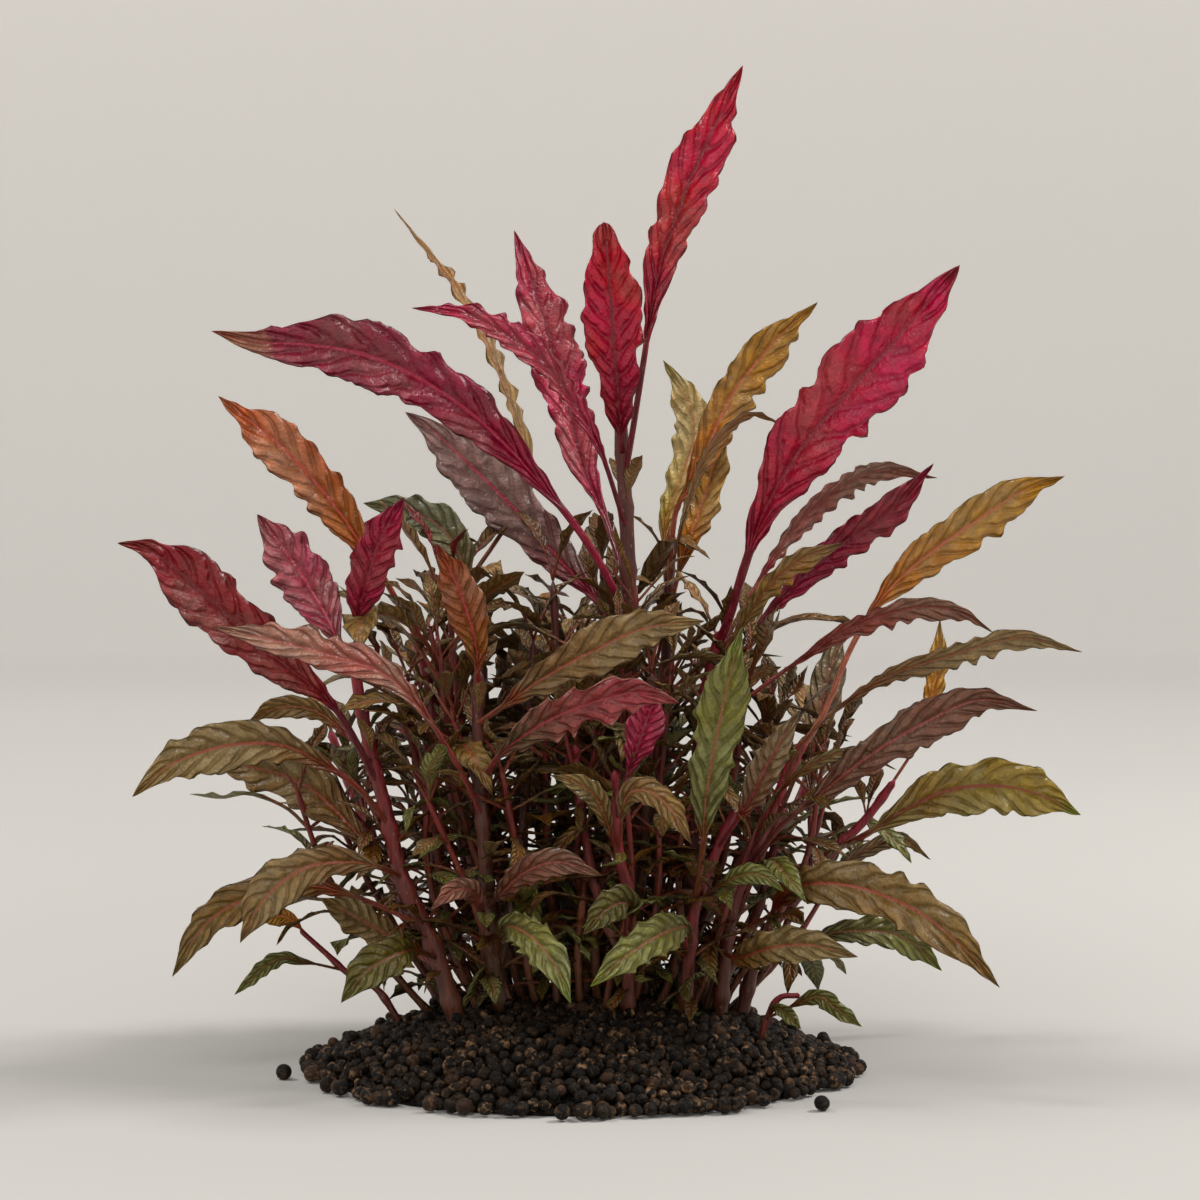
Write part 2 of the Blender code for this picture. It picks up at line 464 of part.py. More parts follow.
def leaf_solid(leaf, stem, push=0.0, spare=0.0):
    """One of the leaves placed by hand."""
    turn = math.radians(leaf.turn)

    def facing(line):
        toward = unit(seen(*VIEW_CENTRE, -VIEW_DISTANCE) - line)
        ahead = unit(np.gradient(line, axis=0))
        front = unit(toward - (toward * ahead).sum(1, keepdims=True) * ahead)
        return math.cos(turn) * front + math.sin(turn) * np.cross(ahead, front)

    rings = (SPRIG_STALK_RINGS, SPRIG_BLADE_RINGS) if leaf.sprig else (STALK_RINGS, BLADE_RINGS)
    return blade_solid(leaf_line(leaf, stem, push), leaf.width, leaf.stalk, leaf.widest, facing,
                       leaf.twist, spare, rings, 0.0 if leaf.sprig else WAVE_HEIGHT)


def pair_of_leaves(joint, heading, length, rise, off_axis):
    """Yields (points of the midrib, width) for two small leaves that stand opposite each other.

    They start that far off the axis, at that rise, and bend down towards their tips."""
    for half_turn in (0, math.pi):
        out = np.array([math.cos(heading + half_turn), math.sin(heading + half_turn), 0])
        steps = [(0.35, rise + 0.25), (0.35, rise), (0.3, rise - 0.5)]
        line = [joint + off_axis * out]
        for part, slope in steps:
            line.append(line[-1] + length * part * (out * math.cos(slope) + [0, 0, math.sin(slope)]))
        yield np.array(line), length * 0.22


def paired_leaves(stem):
    """The small leaves that stand in pairs on a stem.

    Each pair is turned a quarter from the one below, as on the real plant, and leaves grow
    longer and flatter down the stem."""
    low, high, count, shortest, longest = stem.pairs
    for k in range(count):
        share = k / max(1, count - 1)
        joint, _ = stem_point(stem, low + (high - low) * share)
        yield from pair_of_leaves(joint, math.radians(stem.first_turn + 90 * k),
                                  longest + (shortest - longest) * share, math.radians(22 + 34 * share), 0.6)


def shoot_leaves(line, shoot):
    """The small leaves that stand in pairs on a side shoot, the last pair at its tip."""
    for k in range(SHOOT_PAIRS):
        share = k / (SHOOT_PAIRS - 1)
        joint = line[round((0.42 + 0.55 * share) * (len(line) - 1))]
        length = SHOOT_LEAVES[0] + (SHOOT_LEAVES[1] - SHOOT_LEAVES[0]) * share
        yield from pair_of_leaves(joint, math.radians(shoot.heading + 45 + 90 * k), length,
                                  math.radians(30 + 34 * share), 0.4)


def paired_solid(points, width, spare=0.0):
    """A small leaf of a pair, its upper side looking up and in."""
    inward = -unit(points[-1] - points[0])
    return blade_solid(points, width, 0.2, (1.2, 0.9), lambda line: np.tile([0, 0, 1] + 0.4 * inward,
                       (len(line), 1)), 0.0, spare, (PAIRED_STALK_RINGS, PAIRED_BLADE_RINGS), 0.0)


def skin(points, faces):
    """A tree for testing whether two skins cross."""
    return BVHTree.FromPolygons([tuple(p) for p in points], faces)


def is_clear(solid, others):
    """True if a solid crosses none of the others."""
    tree = skin(*solid)
    return not any(tree.overlap(other) for other in others)


def settled_push(leaf, stem, placed):
    """How far back, or forward, a leaf has to swing to hang clear of everything placed before it."""
    for k in range(MOST_PUSHES):
        for way in (1, -1):
            push = way * k * PUSH_STEP
            if is_clear(leaf_solid(leaf, stem, push, CLEARANCE), placed):
                return push
    raise ValueError(f"{leaf.name} finds no place")


def material(name):
    """The plain finish of that colour."""
    made = bpy.data.materials.get(name)
    if made is None:
        made = bpy.data.materials.new(name)
        made.use_nodes = True
        shader = made.node_tree.nodes["Principled BSDF"]
        shader.inputs["Base Color"].default_value = (*COLOURS[name], 1)
        shader.inputs["Roughness"].default_value = ROUGHNESS.get(name, LEAF_ROUGHNESS)
        shader.inputs["Metallic"].default_value = 0.0
        made.diffuse_color = (*COLOURS[name], 1)
    return made


def add_piece(name, solid, colour, origin=(0, 0, 0), parent=None):
    """A named object with that skin, its origin at the point where the piece grows."""
    points, faces = solid
    mesh = bpy.data.meshes.new(name)
    mesh.from_pydata([tuple((p - np.asarray(origin)) * MM) for p in points], [], faces)
    mesh.shade_smooth()
    mesh.set_sharp_from_angle(angle=math.radians(60))
    mesh.materials.append(material(colour))
    piece = bpy.data.objects.new(name, mesh)
    bpy.context.scene.collection.objects.link(piece)
    piece.location = np.asarray(origin) * MM
    piece.parent = parent
    return piece


def joined(solids):
    """Several skins as one list of points and one of faces."""
    points, faces, start = [], [], 0
    for some_points, some_faces in solids:
        points.append(some_points)
        faces += [tuple(i + start for i in face) for face in some_faces]
        start += len(some_points)
    return np.vstack(points), faces


def add_helper(name, solid):
    """A hidden shape that a Boolean reads."""
    helper = add_piece(name, solid, "soil")
    helper.hide_render = True
    helper.display_type = "WIRE"
    return helper


def add_boolean(piece, helper, operation):
    """Joins the helper to the piece, or cuts it out of it."""
    modifier = piece.modifiers.new(helper.name, "BOOLEAN")
    modifier.object = helper
    modifier.operation = operation
    modifier.solver = "EXACT"


def heap_solid():
    """The heap: a round-topped dome with a low rim, a lumpy edge and a flat underside."""
    angle = np.arange(HEAP_ROUND) * math.tau / HEAP_ROUND
    edge = HEAP_RADIUS * (1 + 0.012 * np.sin(3 * angle + 1) + 0.01 * np.sin(7 * angle))
    way = np.column_stack([np.cos(angle), np.sin(angle)])
    rings = [np.column_stack([way * edge[:, None], np.zeros(HEAP_ROUND)])]
    for share in np.linspace(1, 0.12, HEAP_RINGS):
        lump = 0.35 * np.sin(5 * angle + 9 * share) * (1 - share)
        height = heap_height(HEAP_RADIUS * share) + lump
        rings.append(np.column_stack([way * edge[:, None] * share, height]))
    return closed_rings(np.array(rings), np.array([0, 0, HEAP_HEIGHT]))


def pellet_solid(x, y):
    """A stray pellet of soil, lying on the surface beside the heap."""
    height = np.array([-0.96, -0.6, 0.0, 0.6])
    around = np.sqrt(1 - height**2)
    angle = np.arange(8) * math.tau / 8
    rings = np.stack([np.cos(angle) * around[:, None], np.sin(angle) * around[:, None],
                      np.repeat(height[:, None], 8, axis=1)], axis=2)
    points, faces = closed_rings(rings, np.array([0, 0, 1.0]))
    return points * PELLET_RADIUS + [x, y, 0.96 * PELLET_RADIUS], faces


def build_heap(plant):
    """The heap with a socket for each stem."""
    heap = add_piece("soil_heap", heap_solid(), "soil", parent=plant)
    sockets = add_helper("stem_sockets", joined([stem_socket(stem) for stem in STEMS]))
    add_boolean(heap, sockets, "DIFFERENCE")
    for name, (x, y) in STRAY_PELLETS.items():
        add_piece(name, pellet_solid(x, y), "soil", parent=plant)


def build_leaves(plant, stems):
    """The leaves placed by hand, each swung clear of those before it. Returns their skins."""
    placed = [skin(*heap_solid()), *(skin(*stem_solid(stem)) for stem in STEMS)]
    for leaf in LEAVES:
        stem = stems[leaf.stem]
        push = settled_push(leaf, stem, placed)
        solid = leaf_solid(leaf, stem, push)
        placed.append(skin(*solid))
        add_piece(leaf.name, solid, leaf.colour, leaf_line(leaf, stem, push)[0], plant)
        print(f"{leaf.name} swung {push:+.1f} mm")
    return placed[1 + len(STEMS):]


def keep_clear(own, grown, neighbours):
    """Those of a stem's (solid, padded solid) pairs that cross nothing; their skins join grown."""
    kept = []
    for solid, padded in own:
        if is_clear(padded, neighbours) and is_clear(solid, grown):
            kept.append(solid)
            grown.append(skin(*solid))
    return kept


def build_stems(plant, stems, leaf_skins):
    """Each stem with the side shoots and small leaves that grow from it, fused into one solid.

    Those that would run through another stem, its leaves or a placed leaf are left out."""
    spares = (0.0, CLEARANCE)
    grown = {stem.name: [] for stem in STEMS}
    stem_skins = {stem.name: skin(*stem_solid(stem)) for stem in STEMS}
    for stem in STEMS:
        own = grown[stem.name]
        neighbours = [skin(*heap_solid()), *leaf_skins]
        for other in (name for name in stem_skins if name != stem.name):
            neighbours += [stem_skins[other], *grown[other]]
        kept = keep_clear([[leaf_solid(leaf, stem, spare=s) for s in spares]
                           for leaf in SPRIGS if leaf.stem == stem.name], own, neighbours)
        shoots = []
        for shoot in (shoot for shoot in SIDE_SHOOTS if shoot.stem == stem.name):
            line = shoot_line(shoot, stem, SHOOT_LINE_POINTS)
            if keep_clear([[shoot_solid(line, s) for s in spares]], own, neighbours):
                shoots.append((shoot, line, own.pop()))
        tubes = [tube_skin for *_, tube_skin in shoots]
        pairs = [[paired_solid(*leaf, spare=s) for s in spares] for leaf in paired_leaves(stem)]
        kept += keep_clear(pairs, own, neighbours + tubes)
        for shoot, line, tube_skin in shoots:
            others = [stem_skins[stem.name], *(t for t in tubes if t is not tube_skin)]
            pairs = [[paired_solid(*leaf, spare=s) for s in spares] for leaf in shoot_leaves(line, shoot)]
            kept += keep_clear(pairs, own, neighbours + others)
        own += tubes
        print(f"{stem.name} keeps {len(shoots)} side shoots and {len(kept)} small leaves")
        piece = add_piece(stem.name, stem_solid(stem), stem.colour, stem_line(stem, 2)[0], plant)
        if shoots:
            tubes = joined([shoot_solid(line) for _, line, _ in shoots])
            add_boolean(piece, add_helper(stem.name + "_side_shoots", tubes), "UNION")
        if kept:
            add_boolean(piece, add_helper(stem.name + "_small_leaves", joined(kept)), "UNION")


def build():
    """The whole plant."""
    for old in list(bpy.data.objects):
        bpy.data.objects.remove(old)
    plant = bpy.data.objects.new("plant", None)
    bpy.context.scene.collection.objects.link(plant)
    stems = {stem.name: stem for stem in STEMS}
    build_heap(plant)
    leaf_skins = build_leaves(plant, stems)
    build_stems(plant, stems, leaf_skins)


build()
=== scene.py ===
# %% [markdown]
# # A red-leaved aquarium stem plant in its heap of soil
#
# The real thing is a bunch of leafy stems planted in a loose heap of dark baked-clay pellets. Its
# leaves are thin, wavy and lance-shaped: bright crimson in the crown, then mauve, copper and ochre,
# and olive to green near the soil. The CAD model holds one solid for each stem, each large leaf and
# the heap. This script keeps their places and sizes and makes what a solid can't show: blades a
# quarter of a millimetre thick, ruffled margins, veins, a thicket of inner shoots and single pellets.

# %% Load the CAD model as the frame
import math
from dataclasses import dataclass

import bmesh
import bpy
import numpy as np
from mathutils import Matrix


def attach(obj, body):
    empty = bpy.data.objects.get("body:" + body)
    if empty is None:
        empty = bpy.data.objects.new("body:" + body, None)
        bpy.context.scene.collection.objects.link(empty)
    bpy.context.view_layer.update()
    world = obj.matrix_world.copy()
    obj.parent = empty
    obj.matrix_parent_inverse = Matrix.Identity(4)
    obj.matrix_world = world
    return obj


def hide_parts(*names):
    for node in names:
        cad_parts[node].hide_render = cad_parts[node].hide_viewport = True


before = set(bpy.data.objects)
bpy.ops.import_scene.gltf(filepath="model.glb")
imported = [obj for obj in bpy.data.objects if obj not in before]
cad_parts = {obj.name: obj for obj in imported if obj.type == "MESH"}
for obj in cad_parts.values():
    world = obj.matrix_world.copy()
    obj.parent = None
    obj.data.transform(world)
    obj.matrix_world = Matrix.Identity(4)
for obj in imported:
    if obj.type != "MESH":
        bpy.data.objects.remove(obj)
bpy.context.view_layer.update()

MM = 0.001
TINY = 1e-9

# %% [markdown]
# ## The camera
#
# The photograph was taken nearly level with the middle of the plant, so it looks down on the heap by
# about nine degrees, and from far enough away that near and far leaves differ little in size. A long
# lens at 620 mm does the same. A point of the picture is written as (across, up) in millimetres,
# measured where the stems stand, and `seen` turns it into a place in space once its depth is chosen.
# The CAD model was laid out in the same way, so the two agree.

# %% Camera
VIEW_TILT = math.radians(1)
VIEW_DISTANCE = 620.0
VIEW_CENTRE = (4.0, 94.0)
VIEW_WIDTH = 240.0
SENSOR_WIDTH = 36.0
RIGHT_WAY = np.array([1.0, 0.0, 0.0])
UP_WAY = np.array([0.0, math.sin(VIEW_TILT), math.cos(VIEW_TILT)])
BACK_WAY = np.array([0.0, -math.cos(VIEW_TILT), math.sin(VIEW_TILT)])
EYE = VIEW_CENTRE[0] * RIGHT_WAY + VIEW_CENTRE[1] * UP_WAY + VIEW_DISTANCE * BACK_WAY

scene = bpy.context.scene
scene.camera = bpy.data.objects.new("camera", bpy.data.cameras.new("camera"))
scene.collection.objects.link(scene.camera)
scene.camera.location = EYE * MM
scene.camera.rotation_euler = (math.pi / 2 - VIEW_TILT, 0, 0)
scene.camera.data.sensor_width = SENSOR_WIDTH
scene.camera.data.lens = SENSOR_WIDTH * VIEW_DISTANCE / VIEW_WIDTH
scene.camera.data.clip_start = 0.01
scene.view_settings.view_transform = "Standard"
print("lens, mm:", round(scene.camera.data.lens, 1))

# %% [markdown]
# ## Lines through space
#
# Every stem and leaf follows a line through a few points. A Bezier curve object would do, but its
# points would have to be read back from it. Here a Catmull-Rom curve is worked out with numpy, and its
# points are spread evenly by length, so veins and ruffles keep their size along a leaf.

# %% Vectors and smooth lines
STEPS_PER_SPAN = 12


def unit(vectors):
    """Each vector divided by its own length."""
    return vectors / np.linalg.norm(vectors, axis=-1, keepdims=True)


def squared(vectors, ahead):
    """Each vector less its part along ahead, made one long again: it is then square to ahead."""
    return unit(vectors - (vectors * ahead).sum(-1, keepdims=True) * ahead)


def ease(value, low, high):
    """0 below low, 1 above high, and 3x^2 - 2x^3 of the share x between them."""
    share = np.clip((value - low) / (high - low), 0, 1)
    return share * share * (3 - 2 * share)


def level_way(heading):
    """The level direction of length 1 at that angle: (cos, sin, 0)."""
    return np.array([math.cos(heading), math.sin(heading), 0.0])


def on_circle(angles):
    """Points (cos, sin) on a circle of radius 1."""
    return np.column_stack([np.cos(angles), np.sin(angles)])


def turned_rings(radius, height, sides):
    """Rings (count, sides, 3) of a shape turned on a lathe: (radius cos, radius sin, height)."""
    around = np.arange(sides) * math.tau / sides
    return np.stack(np.broadcast_arrays(radius[:, None] * np.cos(around), radius[:, None] * np.sin(around),
                                        height[:, None]), axis=-1)


def seen(across, up, depth):
    """The point at that depth on the ray from the eye through (across, up) in the picture."""
    ray = across * RIGHT_WAY + up * UP_WAY - EYE
    return EYE + ray * (depth - EYE[1]) / ray[1]


def smooth_line(points, count):
    """count points, evenly spread by length, on the Catmull-Rom curve through the given points.

    Between b and c, with a before and d after, it is half of 2b + (c - a)x + (2a - 5b + 4c - d)x^2
    + (-a + 3b - 3c + d)x^3. Each end is carried on straight to give the missing neighbour."""
    points = np.asarray(points, float)
    padded = np.vstack([2 * points[0] - points[1], points, 2 * points[-1] - points[-2]])
    a, b, c, d = (padded[i:len(padded) - 3 + i, None] for i in range(4))
    x = np.linspace(0, 1, STEPS_PER_SPAN, endpoint=False)[None, :, None]
    spans = 0.5 * (2 * b + (c - a) * x + (2 * a - 5 * b + 4 * c - d) * x**2
                   + (-a + 3 * b - 3 * c + d) * x**3)
    fine = np.vstack([spans.reshape(-1, 3), points[-1:]])
    length = np.concatenate([[0], np.cumsum(np.linalg.norm(np.diff(fine, axis=0), axis=1))])
    wanted = np.linspace(0, length[-1], count)
    return np.column_stack([np.interp(wanted, length, fine[:, i]) for i in range(3)])


print("the middle of the picture, at the stems:", np.round(seen(*VIEW_CENTRE, 0.0), 1))

# %% [markdown]
# ## Where each stem and leaf is
#
# A plant grown by a rule would look like its kind but not like this one. So each stem, each large
# leaf and the small leaves at the outline are placed one by one, as (across, up, depth) read off the
# photograph's view. A leaf's `back` leans its tip away from the viewer, `turn` shows it partly
# edge-on, and `twist` turns it further towards its tip, all as in the CAD model.

# %% What a stem and a leaf are made of
@dataclass(frozen=True)
class Stem:
    """A stem: foot in plan, points above it, radius at foot and tip, its pairs of leaves, their turn.

    pairs is (lowest, highest, how many pairs, shortest leaf, longest leaf)."""
    foot: tuple
    line: list
    thick: tuple
    pairs: tuple
    first_turn: float


@dataclass(frozen=True)
class Shoot:
    """A side shoot: its stem, the height where it leaves it, its heading, its lean, its own height."""
    stem: str
    joins: float
    heading: float
    lean: float
    height: float


@dataclass(frozen=True)
class Leaf:
    """A leaf: its stem and the height where it joins, points of its midrib, width and finish.

    stalk is the bare share of its length. Half its width follows t^a (1 - t)^b for widest = (a, b).
    ruffle multiplies the depth of the waves at its margin."""
    stem: str
    joins: float
    line: list
    width: float
    finish: str
    turn: float = 0.0
    twist: float = 0.0
    stalk: float = 0.2
    widest: tuple = (1.3, 0.9)
    back: float = 0.0
    ruffle: float = 1.0


# %% The stems
STEMS = {
    "stem_centre": Stem((10, 2), [(11, 44, 1), (10, 74, 1), (9.6, 102, 1), (8.4, 124, 2), (7.6, 138, 2)],
         (2.3, 1.5), (40, 112, 4, 15, 24), 20),
    "stem_left": Stem((-22, -12), [(-29, 24, -13), (-35.4, 38, -13), (-38.8, 52, -12), (-41.4, 62, -11),
         (-44, 74, -10), (-45.5, 85, -10)], (2.2, 1.2), (30, 62, 3, 13, 20), 70),
    "stem_mid_left": Stem((-13, -8), [(-17.4, 23, -12), (-19.4, 49, -15), (-20.4, 65, -16),
         (-20.2, 80, -16)], (2, 1.2), (26, 70, 4, 12, 20), 10),
    "stem_front": Stem((9, -13), [(10, 32, -20), (8, 42, -23), (7.2, 50, -24), (7, 60, -24)],
         (1.7, 1), (28, 54, 3, 10, 16), 50),
    "stem_right": Stem((20, 5), [(21.6, 34, 5), (23.4, 58, 4), (25.8, 78, 4), (28.4, 88, 4)],
         (2, 1.4), (34, 78, 4, 14, 24), 80),
    "stem_right_lean": Stem((27, -4), [(30, 30, -7), (35, 44, -9), (41, 58, -10), (45, 66, -10)],
         (1.8, 1.1), (30, 58, 3, 14, 22), 30),
    "stem_right_outer": Stem((31, 4), [(36, 25, 4), (43, 34, 4), (50, 43, 4), (57, 50, 3), (63, 58, 2)],
         (1.7, 0.9), (24, 50, 3, 13, 22), 60),
    "stem_low_right": Stem((34, -12), [(39, 13.5, -14), (44, 15, -15)], (0.9, 0.6), (0, 0, 0, 0, 0), 0),
    "stem_low_left": Stem((-33, 0), [(-40, 15.5, 0), (-46, 19, 0), (-51, 23.5, 0), (-56, 28, 0)],
         (0.9, 0.6), (0, 0, 0, 0, 0), 0),
    "stem_back_left": Stem((-14, 12), [(-19, 34, 15), (-25, 54, 16), (-30, 76, 15), (-34, 92, 13)],
         (1.8, 1.1), (32, 84, 5, 16, 28), 40),
    "stem_back_right": Stem((14, 16), [(16, 44, 19), (17, 74, 21), (17.6, 94, 21), (18.4, 108, 21)],
         (1.9, 1.1), (34, 100, 5, 16, 28), 0),
    "stem_front_right": Stem((20, -10), [(22, 24, -14), (23.4, 34, -17), (27, 43, -19), (31, 52, -19)],
         (1.6, 1), (24, 50, 3, 12, 18), 15),
    "stem_back_centre": Stem((-2, 26), [(-3, 44, 36), (-4, 66, 43), (-4, 86, 47)],
         (1.8, 1.1), (30, 80, 5, 26, 40), 25),
    "stem_back_far_left": Stem((-26, 18), [(-36, 34, 30), (-44, 52, 38), (-50, 68, 42)],
         (1.7, 1), (24, 60, 4, 24, 36), 65),
    "stem_back_far_right": Stem((27, 21), [(36, 34, 33), (43, 52, 41), (49, 66, 46)],
         (1.7, 1), (24, 58, 4, 24, 36), 10),
}
SIDE_SHOOTS = [
    Shoot("stem_centre", 22, 178, 16, 98),
    Shoot("stem_centre", 26, 285, 13, 80),
    Shoot("stem_mid_left", 20, 60, 14, 86),
    Shoot("stem_front", 22, 150, 12, 66),
    Shoot("stem_right", 20, 54, 18, 86),
    Shoot("stem_right_lean", 18, 42, 18, 64),
    Shoot("stem_back_left", 22, 126, 22, 86),
    Shoot("stem_back_left", 20, 208, 20, 78),
    Shoot("stem_back_right", 24, 142, 14, 98),
    Shoot("stem_back_centre", 24, 55, 24, 84),
    Shoot("stem_back_centre", 22, 140, 24, 80),
]
print(len(STEMS), "stems and", len(SIDE_SHOOTS), "side shoots")

